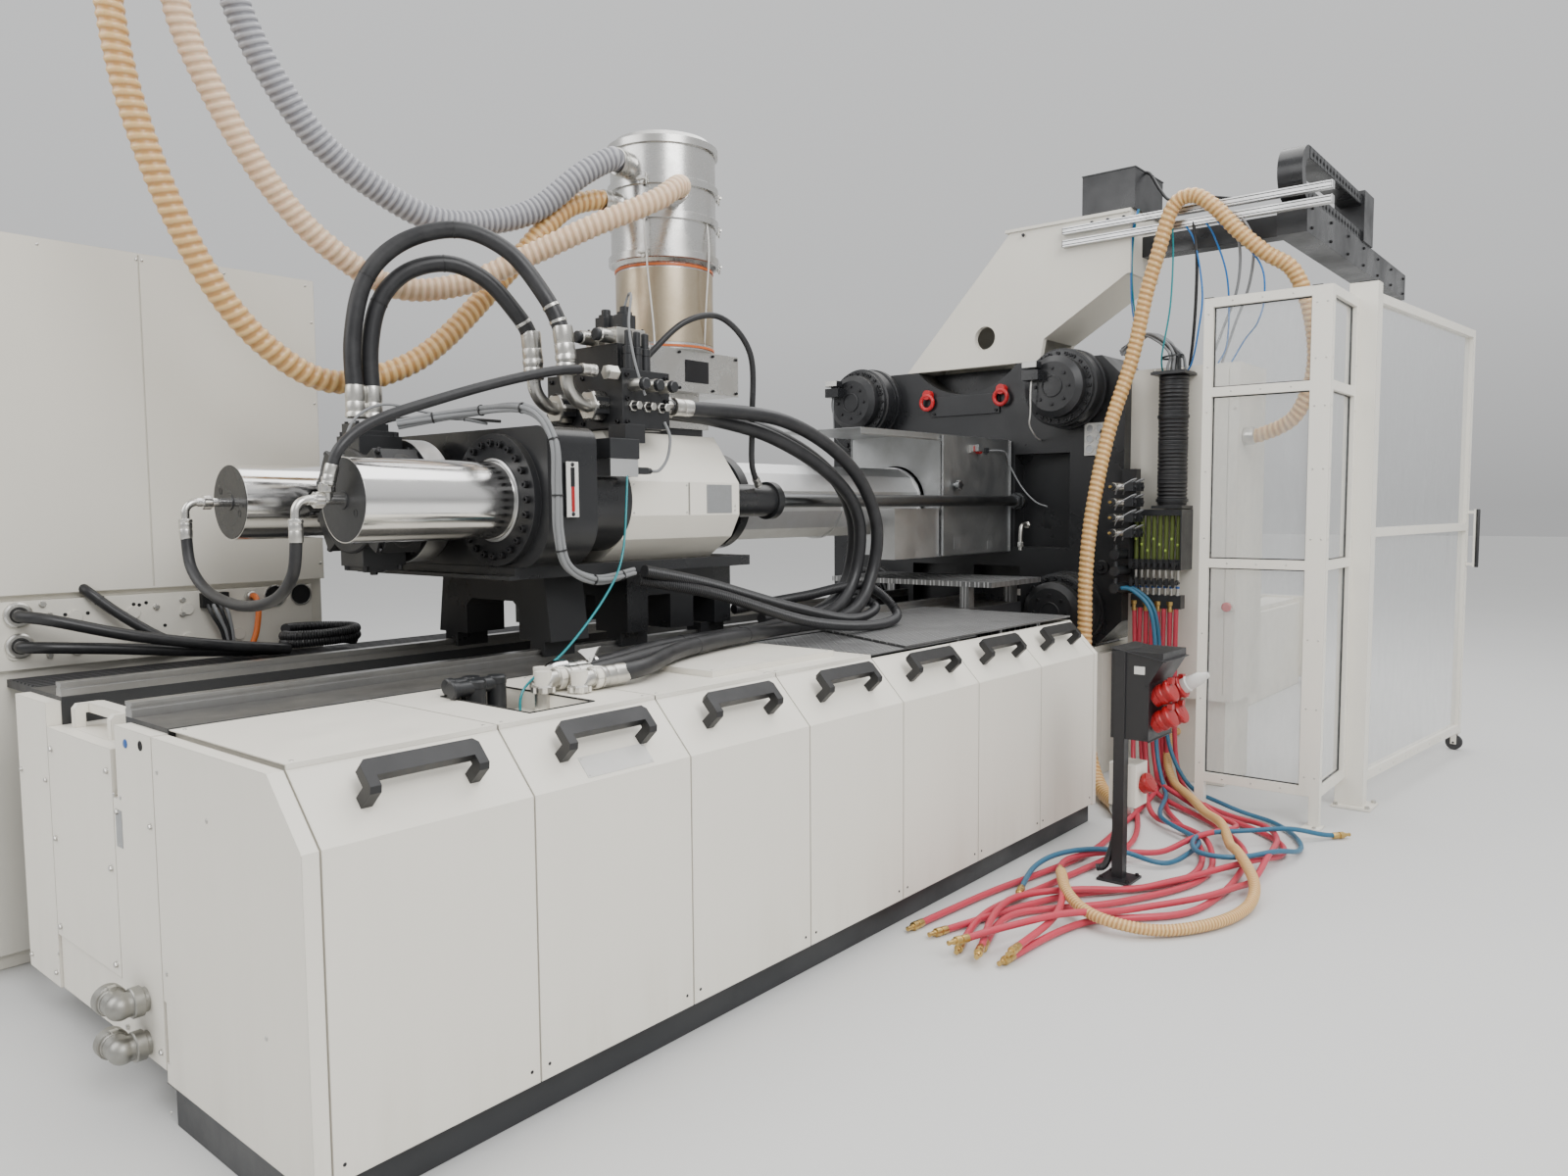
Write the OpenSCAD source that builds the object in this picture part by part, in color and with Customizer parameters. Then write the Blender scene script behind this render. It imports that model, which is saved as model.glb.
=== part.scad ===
// Large two-platen injection moulding machine, millimetres, +Z up.
// X runs from the injection end to the clamp, the machine axis lies at Y = 0, the floor at Z = 0.

/* [Covers and bed] */
// Distance from the machine axis to the face of the side covers
cover_y = 1388; // [1340:1:1440]
// Pitch of the side covers
door_w = 600; // [560:1:600]
// Width of the fixed strip at each end of the covers
strip_w = 45; // [30:1:80]
// Seam between neighbouring covers
seam = 5; // [3:0.5:8]
// Lower edge of the covers above the floor
door_z = 110; // [90:1:130]
// Height at which the covers fold inwards
fold_z = 908; // [860:1:930]
// Height of the upper fold
top_z = 1072; // [1050:1:1075]
// Depth of the slanted face
slant_d = 156; // [120:1:200]
// Sheet thickness of covers and deck
sheet = 3; // [2:0.5:4]
// How far a cover tilts out
door_open = 24; // [10:1:24]
// Radius of the hinge pins of the covers
pin_r = 5; // [4:0.5:6]
// Width of one bed beam
beam_w = 298; // [260:1:320]
// Distance from the axis to the inner face of a beam
beam_in = 268; // [240:1:268]
// Height of the bed beams
beam_z = 1088; // [1080:1:1095]
// Width of a guide rail
rail_w = 46; // [36:1:60]
// Height of the rails above the floor
rail_z = 1133; // [1125:1:1140]
// Height of the centre cover
centre_z = 997; // [940:1:1020]

/* [Handles] */
// Length of a grip over its feet
grip_l = 335; // [260:1:380]
// Thickness of a grip
grip_t = 30; // [22:1:36]
// Reach of a grip from the cover
grip_h = 75; // [60:1:90]
// Distance that a grip's bar is cranked along the cover
grip_crank = 75; // [60:1:90]

/* [Injection unit] */
// Height of the machine axis
axis_z = 1715; // [1700:1:1730]
// Front face of the cylinder housing
housing_x = 1239; // [1200:1:1260]
// Length of the cylinder housing
housing_l = 251; // [220:1:270]
// Half width of the cylinder housing
housing_w = 688; // [660:1:700]
// Length of the open space behind the housing
drum_l = 245; // [220:1:260]
// Distance of the plungers from the axis
plunger_y = 407; // [400:1:420]
// Radius of a plunger
plunger_r = 140; // [120:1:145]
// How far the plungers stand out of the housing
plunger_out = 575; // [520:1:600]
// Injection stroke
inject_travel = 480; // [300:10:480]
// Travel of the whole unit away from the platen
unit_travel = 400; // [200:10:400]
// Radius of the gland flange round a plunger
gland_r = 205; // [190:1:215]
// Length of the drive motor
motor_l = 359; // [300:1:370]
// Radius over the cylinder heads of the drive motor
motor_r = 255; // [230:1:256]
// Length of the faceted cover
drive_l = 638; // [620:1:660]
// Length of the bell casting
bell_l = 477; // [440:1:500]
// Length of the barrel jacket
jacket_l = 1598; // [1500:1:1620]
// Radius of the barrel jacket
jacket_r = 200; // [185:1:205]
// Radius of the barrel
barrel_r = 150; // [130:1:160]
// Radius of the screw
screw_r = 65; // [55:1:75]
// Radius of a carriage rod
rod_r = 32; // [25:1:40]
// Centre of the hopper along the machine
hopper_x = 2517; // [2500:1:2560]
// Radius of the hopper
hopper_r = 244; // [200:1:250]
// Top of the hopper
hopper_z = 3364; // [3250:1:3400]

/* [Clamp unit] */
// Distance from the last cover to the fixed platen
platen_gap = 1010; // [1000:1:1100]
// Thickness of a platen
platen_t = 450; // [400:1:500]
// Half width of a platen
platen_w = 1100; // [1060:1:1130]
// Lower edge of a platen
platen_z0 = 822; // [800:1:830]
// Upper edge of a platen
platen_z1 = 2600; // [2580:1:2602]
// Half distance of the tie bars across
tie_y = 752; // [740:1:770]
// Half distance of the tie bars in height
tie_z = 689; // [660:1:700]
// Radius of a tie bar
tie_r = 105; // [90:1:120]
// Radius of a lock cylinder
lock_r = 238; // [225:1:245]
// Length of a lock cylinder
lock_l = 268; // [240:1:290]
// Open space between the platens
daylight = 1900; // [1700:10:2100]
// Closing stroke of the moving platen
close_travel = 1200; // [800:10:1200]
// Length of the clamp bed
clamp_l = 4560; // [4500:10:4700]
// Radius of the centring bore
centring_r = 125; // [100:1:150]
// Spacing of the platen bolt holes
bolt_pitch = 280; // [240:10:300]
// Radius of a platen bolt hole
bolt_r = 12; // [10:1:15]

/* [Guards] */
// Face of the first guard bay along the machine
bay_x = 4890; // [4850:1:4950]
// Inner edge of the first guard bay
bay_y0 = 1701; // [1690:1:1760]
// Outer edge of the guard
bay_y1 = 2290; // [2250:1:2310]
// Top of the guard
guard_z = 2785; // [2700:1:2850]
// Width of a guard profile
prof_w = 50; // [40:1:60]
// Distance of the corner post along the machine
post_x = 5488; // [5480:1:5520]
// Distance of the corner post from the axis
post_y = 2383; // [2370:1:2400]
// Width of the corner post
post_w = 100; // [80:1:120]
// Height of the corner post
post_z = 2870; // [2800:1:2900]
// Length of the gate
gate_l = 1940; // [1800:10:1960]
// How far the gate stands open
gate_rest = 6; // [0:1:8]
// Radius of the gate wheel
wheel_r = 50; // [40:1:55]

/* [Cabinets] */
// Right edge of the far cabinet
cab_x = 1277; // [1200:1:1300]
// Width of the far cabinet
cab_w = 1400; // [1380:1:1500]
// Front of the far cabinet
cab_y = 912; // [900:1:960]
// Depth of the far cabinet
cab_d = 600; // [500:1:800]
// Height of the far cabinet
cab_z = 2680; // [2500:1:2800]
// Face of the operator side cabinet along the machine
op_x = 5400; // [5395:1:5430]
// Width of the operator side cabinet
op_w = 640; // [600:1:640]
// Length of the operator side cabinet
op_l = 500; // [400:1:600]
// Top of the operator side cabinet
op_z = 2500; // [2400:1:2560]

/* [Hidden] */
$fn = 64;
// running clearance and air between bodies
fit = 0.5;
// lengths along the machine
covers_l = strip_w * 2 + door_w * 7;
platen_x = covers_l + platen_gap;
drum_x = housing_x + housing_l;
drive_x = drum_x + drum_l;
bell_x = drive_x + drive_l;
jacket_x = bell_x + bell_l;
jacket_end = jacket_x + jacket_l;
motor_x = housing_x - motor_l;
plunger_x = housing_x - plunger_out;
moving_x = platen_x + platen_t + daylight;
machine_end = platen_x + clamp_l;
rail_y = beam_in + rail_w / 2;
base_z = axis_z - 244;
foot_z = rail_z + 32;
cross_x = drive_x + 20;
cross_t = 95;
beam_out = beam_in + beam_w;
port_x = plunger_x - 160;
motor_top = axis_z + motor_r + 27;
hopper_base = axis_z + 335;
bed_end = platen_x - lock_l - 15;
gate_y = post_y;
gate_x = post_x + post_w / 2 + 34;
// origin below the middle of the machine
x_lo = cab_x - cab_w;
x_hi = machine_end;
handle_reach = 50;
y_lo = -(gate_y + (gate_l - 14) * sin(gate_rest) + (prof_w / 2 + handle_reach) * cos(gate_rest));
y_hi = cab_y + cab_d;

// A box from one corner to the opposite one
module span(a, b) {
    translate(a) cube(b - a);
}

// A cylinder along +X from a point
module rod(p, r, l) {
    translate(p) rotate([0, 90, 0]) cylinder(h = l, r = r);
}

// A section in Y and Z drawn out along +X
module along(x, l) {
    translate([x, 0, 0]) rotate([90, 0, 90]) linear_extrude(l) children();
}

// A turned body about the X direction, profile as [radius, x]
module turned(p, pts) {
    translate(p) rotate([0, 90, 0]) rotate_extrude() polygon(pts);
}

// Copies at both sides of the axis
module both() {
    children();
    mirror([0, 1, 0]) children();
}

// Bolts on a circle about an X axis
module ring_x(p, r, n, start = 0) {
    for (i = [0 : n - 1]) {
        translate(p) rotate([start + i * 360 / n, 0, 0]) translate([0, r, 0]) children();
    }
}

// A hexagon socket screw head along -X
module cap_screw(r, h) {
    rotate([0, -90, 0]) difference() {
        cylinder(h = h, r = r);
        translate([0, 0, h * 0.4]) cylinder(h = h, r = r * 0.5, $fn = 6);
    }
}

module bed_frame() color("#2b2c2e") {
    // two beams with the cross members between them
    both() {
        span([strip_w, -beam_out, 300], [platen_x, -beam_in, platen_z0 - 60]);
        span([strip_w, -beam_out, platen_z0 - 61], [bed_end, -beam_in, beam_z]);
    }
    for (x = [strip_w : 1040 : platen_x - 200]) {
        span([x, -beam_in, 300], [x + 160, beam_in, centre_z - 60]);
    }
    // feet below the beams
    for (x = [400 : 1100 : platen_x], s = [-1, 1]) {
        translate([x, s * (beam_in + beam_w / 2), 0]) cylinder(h = 40, r = 90);
        translate([x, s * (beam_in + beam_w / 2), 40]) cylinder(h = 260, r = 45);
    }
    // plinth and skirt rail that carry the covers
    span([0, -cover_y + 40, 0], [covers_l, -beam_out - 60, door_z - 8 - sheet]);
    span([0, -cover_y + 60, door_z - 8 - sheet], [covers_l, -beam_out, door_z - 8]);
    // hinge lugs with their pins
    for (i = [0 : 6], e = [0, 1]) {
        x = strip_w + i * door_w + (e == 0 ? 70 : door_w - 70);
        hinge_lug(x, e == 0 ? 1 : -1);
    }
}

hinge_y = -cover_y + 16;
hinge_z = door_z + 12;
module hinge_lug(x, s) {
    span([x - 5, hinge_y - pin_r, hinge_z - pin_r], [x + 5, -cover_y + 70, hinge_z + pin_r]);
    span([x - 5, -cover_y + 60, door_z - 8], [x + 5, -cover_y + 70, hinge_z + pin_r]);
    translate([s > 0 ? x + 5 : x - 45, hinge_y, hinge_z]) rotate([0, 90, 0]) cylinder(h = 40, r = pin_r);
}

module bed_rails() color("#8c8f90") {
    both() difference() {
        span([strip_w, -beam_in - rail_w, beam_z], [bed_end, -beam_in, rail_z]);
        span([0, -beam_in - rail_w - 1, rail_z - 22], [platen_x + 1, -beam_in - rail_w + 7, rail_z - 12]);
        span([0, -beam_in - 7, rail_z - 22], [platen_x + 1, -beam_in + 1, rail_z - 12]);
    }
}

module door(i) color("#e3dfd4") {
    x0 = strip_w + (i - 1) * door_w + seam / 2;
    w = door_w - seam;
    difference() {
        along(x0, w) polygon([
            [-cover_y, door_z], [-cover_y, fold_z], [-cover_y + slant_d, top_z],
            [-cover_y + slant_d, top_z - 30], [-cover_y + 30, fold_z - 50], [-cover_y + 30, door_z]
        ]);
        along(x0 + sheet, w - sheet * 2) polygon([
            [-cover_y + sheet, door_z - 1], [-cover_y + sheet, fold_z - 1],
            [-cover_y + slant_d - sheet, top_z - sheet * 1.6], [-cover_y + slant_d - sheet, top_z - 31],
            [-cover_y + slant_d, top_z - 40], [-cover_y + 31, fold_z - 50], [-cover_y + 31, door_z - 1]
        ]);
    }
    // hinge barrels that run on the pins of the bed
    for (e = [0, 1]) {
        xh = strip_w + (i - 1) * door_w + (e == 0 ? 80 : door_w - 110);
        difference() {
            union() {
                translate([xh, hinge_y, hinge_z]) rotate([0, 90, 0]) cylinder(h = 30, r = pin_r + 4);
                span([xh, -cover_y + sheet - 0.5, hinge_z - pin_r - 4], [xh + 30, hinge_y, hinge_z + pin_r + 4]);
            }
            translate([xh - 1, hinge_y, hinge_z]) rotate([0, 90, 0]) cylinder(h = 32, r = pin_r + fit);
        }
    }
}

slant_a = atan2(top_z - fold_z, slant_d);
slant_l = sqrt(pow(top_z - fold_z, 2) + pow(slant_d, 2));
// The bridge grip, drawn in its own plane and set on the slanted face
module grip(l, h, t) {
    // two legs, square to the face and then cranked along it
    for (k = [-1, 1]) {
        translate([k * (l - t) / 2, 0, 0]) rotate([90, 0, 90]) translate([0, 0, -t / 2]) linear_extrude(t) polygon([
            [-16, 0], [16, 0], [16, h - t], [grip_crank - 20, h - t], [grip_crank - 20, h], [-4, h], [-16, h - 14]
        ]);
    }
    // flat bar with its outer corners cut
    translate([0, 0, h - t]) linear_extrude(t) polygon([
        [-l / 2, grip_crank - 50], [l / 2, grip_crank - 50], [l / 2, grip_crank - 14], [l / 2 - 14, grip_crank],
        [14 - l / 2, grip_crank], [-l / 2, grip_crank - 14]
    ]);
}

module handle(i) color("#1b1c1e") {
    x = strip_w + (i - 0.5) * door_w;
    translate([x, -cover_y, fold_z]) rotate([slant_a, 0, 0]) {
        translate([0, slant_l * 0.43, 0]) grip(grip_l, grip_h, grip_t);
    }
}

module end_cover() color("#e3dfd4") {
    // strips at both ends of the covers, the first with the slot for the cooling water pipes
    for (x = [0, covers_l - strip_w + seam / 2]) {
        difference() {
            along(x, strip_w - seam / 2) polygon([
                [-cover_y, door_z - 7.7], [-cover_y, fold_z], [-cover_y + slant_d, top_z],
                [-beam_out - seam, top_z], [-beam_out - seam, door_z - 7.7]
            ]);
            if (x == 0) {
                span([-1, -cover_y + 860, 160], [strip_w, -beam_out - 20, 335]);
            }
        }
    }
    // end of the near beam, with its upper notch
    span([0, -beam_out, 135], [strip_w - 0.3, -beam_in - 4, 860]);
    span([0, -beam_out, 859], [strip_w - 0.3, -beam_in - 40, beam_z - 14]);
    // centre panel and its lower part
    span([0, -beam_in, 317], [strip_w - 0.3, beam_in, centre_z]);
    span([8, -beam_in, 135], [strip_w - 0.3, beam_in, 317 - seam]);
    // end of the far beam
    span([0, beam_in + 4, 135], [strip_w - 0.3, beam_out, beam_z - 14]);
    // pipe elbows of the cooling water
    for (z = [178, 305]) {
        pipe_elbow([strip_w, -cover_y + 945, z]);
    }
}

// A screwed elbow that comes out of the end face and turns to the near side
module pipe_elbow(p) {
    rod([-68, p[1], p[2]], 34, 68 + p[0]);
    rod([-40, p[1], p[2]], 42, 26);
    translate([-68, p[1], p[2]]) sphere(r = 36);
    translate([-68, p[1], p[2]]) rotate([-90, 0, 0]) cylinder(h = 90, r = 34);
    translate([-68, p[1] + 62, p[2]]) rotate([-90, 0, 0]) cylinder(h = 30, r = 42);
}

// Trough cover between the beams, with an angular bridge handle on the first lid
module centre_lid() {
    span([strip_w, -beam_in + 0.3, centre_z - sheet], [900, beam_in - 0.3, centre_z]);
    span([900 + seam, -beam_in + 0.3, centre_z - sheet - 20], [platen_x - 100, beam_in - 0.3, centre_z - 20]);
    translate([strip_w + 22, 36, centre_z]) rotate([0, 0, -90]) grip(grip_l, grip_h, grip_t);
}

// Ends of the supply hoses on the deck, as [x, y]
port_at = [[1050, -915], [1130, -1000], [1110, -830]];
port_z = beam_z + 40;
// Elbows and caps that come up through the deck opening
module deck_fittings() {
    for (p = port_at) {
        translate([p[0], p[1], deck_z - 88]) cylinder(h = port_z - deck_z + 117, r = 28);
        translate([p[0], p[1], deck_z + 4]) cylinder(h = 18, r = 40, $fn = 6);
        rod([p[0], p[1], port_z], 25, 90);
        rod([p[0] + 50, p[1], port_z], 38, 24);
    }
    span([930, -1045, deck_z - 86], [1190, -799, deck_z - 60]);
    for (p = [[911, -717], [880, -790], [980, -760]]) {
        translate([p[0], p[1], deck_z - 80]) cylinder(h = 132, r = 30);
        rod([p[0] - 90, p[1], deck_z + 30], 24, 90);
    }
}

deck_z = beam_z - 3;
module top_deck() color("#dedad0") {
    difference() {
        union() {
            // deck plates between the covers and the near beam
            for (i = [0 : 3]) {
                span([strip_w + i * door_w + seam / 2, -cover_y + slant_d + fit, deck_z - sheet],
                     [strip_w + (i + 1) * door_w - seam / 2, -beam_out - 2, deck_z]);
                span([strip_w + i * door_w + seam / 2, -cover_y + slant_d + fit, deck_z - 30],
                     [strip_w + (i + 1) * door_w - seam / 2, -cover_y + slant_d + fit + sheet, deck_z]);
            }
            // support angles on the beam
            for (x = [strip_w + 20 : door_w : strip_w + 4 * door_w - 60]) {
                span([x, -cover_y + slant_d + 40, deck_z - 60], [x + 40, -beam_out - 0.3, deck_z - sheet]);
            }
            // flat lid on the third plate
            span([1620, -cover_y + 260, deck_z], [2330, -beam_out - 60, deck_z + 22]);
        }
        // opening for the hoses
        span([805, -cover_y + 225, deck_z - 100], [1050, -cover_y + 680, deck_z + 1]);
    }
    centre_lid();
    deck_fittings();
    // deep frame round the opening
    difference() {
        span([800, -cover_y + 220, deck_z - 90], [1055, -cover_y + 685, deck_z - sheet]);
        span([805, -cover_y + 225, deck_z - 100], [1050, -cover_y + 680, deck_z]);
    }
}

tread_x = strip_w + 4 * door_w + 250;
module tread_plates() color("#6d7072") {
    // chequer plate over deck and beam, with its slanted edge
    translate([0, 0, beam_z + 0.3]) linear_extrude(8) polygon([
        [tread_x, -cover_y + slant_d + fit], [covers_l, -cover_y + slant_d + fit],
        [covers_l, -beam_in - rail_w - 3], [tread_x + 420, -beam_in - rail_w - 3]
    ]);
    // smooth plate in front of it and the ribs below both
    span([strip_w + 4 * door_w + 5, -cover_y + slant_d + fit, deck_z - 5], [tread_x + 600, -beam_out - 2, deck_z]);
    for (x = [tread_x + 430 : 400 : covers_l - 60]) {
        span([x, -cover_y + slant_d + fit, deck_z - 55], [x + 12, -beam_out - 0.3, beam_z + 1]);
    }
    // perforated step in front of the platen, on four feet
    difference() {
        span([covers_l + 110, -700, 1215], [bed_end, 440, 1245]);
        for (x = [covers_l + 165 : 90 : bed_end - 50], y = [-650 : 90 : 400]) {
            translate([x, y, 1214]) cylinder(h = 40, r = 26, $fn = 6);
        }
    }
    for (x = [covers_l + 120, bed_end - 70], y = [-beam_out + 20, beam_in + rail_w + 15]) {
        span([x, y, beam_z + 0.3], [x + 60, y + 60, 1215]);
    }
}

module walkway() color("#3a3c3e") {
    // walkway between the far beam and the cabinet
    span([x_lo + 200, beam_out + 0.3, beam_z - 40], [3000, cab_y + 29.7, beam_z - 12]);
    for (y = [beam_out + 24 : 40 : cab_y - 40]) {
        span([x_lo + 200, y, beam_z - 12], [3000, y + 20, beam_z - 6]);
    }
    for (x = [x_lo + 240 : 900 : 2950], y = [beam_out + 20, cab_y - 80]) {
        span([x, y, 0], [x + 50, y + 50, beam_z - 40]);
    }
}

module carriage_base() color("#1f2022") {
    // frame plate
    span([housing_x + 20, -500, foot_z + 262], [bell_x + 165, 500, base_z]);
    // front foot with its arch
    difference() {
        along(drum_x + 20, 188) polygon([
            [-379, foot_z], [-340, foot_z + 262], [340, foot_z + 262], [379, foot_z],
            [178, foot_z], [178, foot_z + 120], [140, foot_z + 150], [-140, foot_z + 150],
            [-178, foot_z + 120], [-178, foot_z]
        ]);
    }
    // rear foot, arched along the machine
    difference() {
        span([drive_x + 172, -379, foot_z], [bell_x + 165, 379, foot_z + 262]);
        span([drive_x + 288, -400, foot_z - 1], [drive_x + 420, 400, foot_z + 150]);
        span([drive_x + 560, -400, foot_z - 1], [bell_x + 60, 400, foot_z + 130]);
        span([drive_x + 100, -178, foot_z - 1], [bell_x + 200, 178, foot_z + 150]);
    }
    // guide shoes on the rails
    both() for (x = [drum_x + 20, drive_x + 172, bell_x + 15]) {
        difference() {
            span([x, -rail_y - 44, rail_z - 28], [x + 150, -rail_y + 44, foot_z]);
            span([x - 1, -rail_y - rail_w / 2 - fit, rail_z - 40],
                 [x + 151, -rail_y + rail_w / 2 + fit, rail_z + fit]);
        }
    }
    // sheet pan below the plungers
    span([housing_x - 20, -520, base_z - 44], [housing_x + 20, 520, base_z - 30]);
}

// Rounded section of the cylinder housing
module housing_section() {
    c = 170;
    h = 504;
    difference() {
        union() {
            translate([-housing_w, base_z + c]) square([housing_w * 2, h - c - 60]);
            translate([-housing_w + c, base_z]) square([(housing_w - c) * 2, h]);
            translate([-housing_w + 60, base_z + c]) square([(housing_w - 60) * 2, h - c]);
            for (s = [-1, 1]) {
                translate([s * (housing_w - c), base_z + c]) circle(r = c);
                translate([s * (housing_w - 60), base_z + h - 60]) circle(r = 60);
            }
        }
    }
}

module cylinder_housing() color("#1b1c1e") {
    difference() {
        union() {
            along(housing_x + 28, housing_l - 28) housing_section();
            for (s = [-1, 1]) {
                // gland flange in front and cylinder tube behind
                rod([housing_x, s * plunger_y, axis_z], gland_r + 35, 28.5);
                rod([drum_x - 0.5, s * plunger_y, axis_z], gland_r - 5, drum_l + 0.5);
            }
            // drum of the drive coupling between the tubes
            rod([drum_x - 0.5, 0, axis_z], 190, drum_l * 0.5);
            rod([drum_x + drum_l * 0.5 - 1, 0, axis_z], 150, drum_l * 0.5 + 1);
            // seat of the drive motor
            rod([housing_x, 0, axis_z], motor_r * 0.62, 29);
        }
        for (s = [-1, 1]) {
            rod([housing_x - 1, s * plunger_y, axis_z], plunger_r + fit, housing_l + drum_l + 2);
            rod([housing_x - 1, s * plunger_y, axis_z], plunger_r + 12, 7);
        }
        rod([housing_x + 40, 0, axis_z], 60, housing_l + drum_l);
    }
    // ring of screws in each gland flange
    for (s = [-1, 1]) {
        ring_x([housing_x, s * plunger_y, axis_z], gland_r, 24) cap_screw(13, 16);
    }
    // corner screws of the block
    for (y = [-1, 1], z = [60, 440]) {
        translate([housing_x + 28, y * (housing_w - 190), base_z + z]) cap_screw(18, 18);
    }
    // level gauge on the near face
    span([housing_x + 95, -housing_w - 16, axis_z - 60], [housing_x + 145, -housing_w, axis_z + 130]);
}

module drive_motor() color("#1d1e20") {
    ring_w = 130;
    // crankcase between two end covers
    rod([motor_x + 20, 0, axis_z], motor_r * 0.72, motor_l - ring_w - 20);
    turned([motor_x, 0, axis_z], [[0, 0], [motor_r * 0.42, 0], [motor_r * 0.5, 20], [0, 20]]);
    rod([housing_x - ring_w, 0, axis_z], motor_r * 0.62, ring_w);
    // polished ring towards the housing
    rod([housing_x - ring_w, 0, axis_z], motor_r * 0.9, ring_w - 40);
    ring_x([housing_x - ring_w, 0, axis_z], motor_r * 0.8, 16) cap_screw(10, 12);
    // star of cylinder heads with their screws
    for (i = [0 : 5]) {
        translate([motor_x + 30, 0, axis_z]) rotate([i * 60, 0, 0]) {
            span([0, -78, motor_r * 0.5], [170, 78, motor_r - 18]);
            span([14, -64, motor_r - 18.5], [156, 64, motor_r]);
            for (u = [16, 154], v = [-62, 62]) {
                translate([u, v, motor_r - 19]) cylinder(h = 16, r = 11);
            }
        }
    }
    // port block on top
    span([motor_x + 35, -48, axis_z + motor_r - 40], [motor_x + 165, 48, motor_top]);
}

// Half section of the faceted cover as [y, z]
function drive_pts(t) = [
    [-440 + t * 0.5, axis_z + 275 - t], [-588 + t, axis_z + 73], [-588 + t, axis_z - 62],
    [-539 + t, axis_z - 156], [-408 + t * 0.5, base_z + t],
    [408 - t * 0.5, base_z + t], [539 - t, axis_z - 156], [588 - t, axis_z - 62],
    [588 - t, axis_z + 73], [440 - t * 0.5, axis_z + 275 - t]
];

module drive_cover() color("#e3dfd4") {
    difference() {
        along(drive_x, drive_l) polygon(drive_pts(0));
        along(drive_x + 8, drive_l - 16) polygon(drive_pts(4));
        // passages for the cylinders and for the screw
        for (s = [-1, 1]) {
            rod([drive_x - 1, s * plunger_y, axis_z], plunger_r + fit * 4, 12);
            rod([bell_x - 10, s * plunger_y, axis_z], rod_r + 6, 12);
        }
        rod([drive_x - 1, 0, axis_z], 120, 12);
        rod([bell_x - 10, 0, axis_z], 120, 12);
        // folded seam between the two halves
        span([drive_x + drive_l * 0.52, -600, axis_z - 300], [drive_x + drive_l * 0.52 + 3, -586.5, axis_z + 300]);
    }
}

elbow_r = 105;
block_y = 588;
module valve_manifold() color("#202123") {
    x = drive_x - 25;
    z = axis_z + 280;
    difference() {
        union() {
            // foot on the cover and the drilled block
            span([x + 30, -560, z - 5], [x + 230, -160, z]);
            span([x, -block_y, z], [x + 250, -138, z + 223]);
            span([x + 40, -520, z + 223], [x + 210, -260, z + 330]);
        }
        for (y = [-458, -258]) {
            rod([x - 1, y, z + 85], 34, 60);
        }
    }
    // hexagon nuts of the two large hoses
    for (y = [-458, -258]) {
        translate([x, y, z + 85]) rotate([0, -90, 0]) cylinder(h = 60, r = 62, $fn = 6);
        // bent steel tube up to the ferrule
        translate([x - 58, y, z + 85 + elbow_r]) rotate([90, 0, 0]) rotate([0, 0, 180]) rotate_extrude(angle = 90) {
            translate([elbow_r, 0]) circle(r = 26);
        }
        translate([x - 58 - elbow_r, y, z + 84 + elbow_r]) cylinder(h = 90, r = 37);
    }
    valves();
    // light valve box on its bracket below the block
    span([x - 150, -block_y - 96, axis_z + 90], [x - 20, -plunger_y - gland_r - 2, axis_z + 220]);
    span([x - 60, -block_y - 80, axis_z + 215], [x + 40, -plunger_y - gland_r + 40, z + 5]);
}

module valves() {
    x = drive_x - 25;
    z = axis_z + 280 + 223;
    // cartridges and solenoids on top
    for (i = [0 : 2]) {
        translate([x + 60 + i * 55, -560 + i * 12, z]) cylinder(h = 90, r = 20);
        translate([x + 60 + i * 55, -560 + i * 12, z + 90]) cylinder(h = 60, r = 14);
    }
    for (i = [0 : 1]) {
        span([x + 60, -500 + i * 110, z + 107], [x + 200, -430 + i * 110, z + 170]);
        translate([x + 130, -465 + i * 110, z + 170]) cylinder(h = 70, r = 30);
        translate([x + 130, -465 + i * 110, z + 240]) cylinder(h = 22, r = 18);
    }
    // solenoids on the near face
    for (i = [0 : 2]) {
        translate([x + 50 + i * 75, -block_y, z - 60]) rotate([90, 0, 0]) cylinder(h = 70, r = 24);
        translate([x + 50 + i * 75, -block_y, z - 140]) rotate([90, 0, 0]) cylinder(h = 40, r = 16);
    }
    // screwed fittings on the rear face
    for (i = [0 : 3]) {
        rod([x + 250, -540 + i * 100, z - 120], 34, 40);
        rod([x + 290, -540 + i * 100, z - 120], 26, 50);
    }
}

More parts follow.
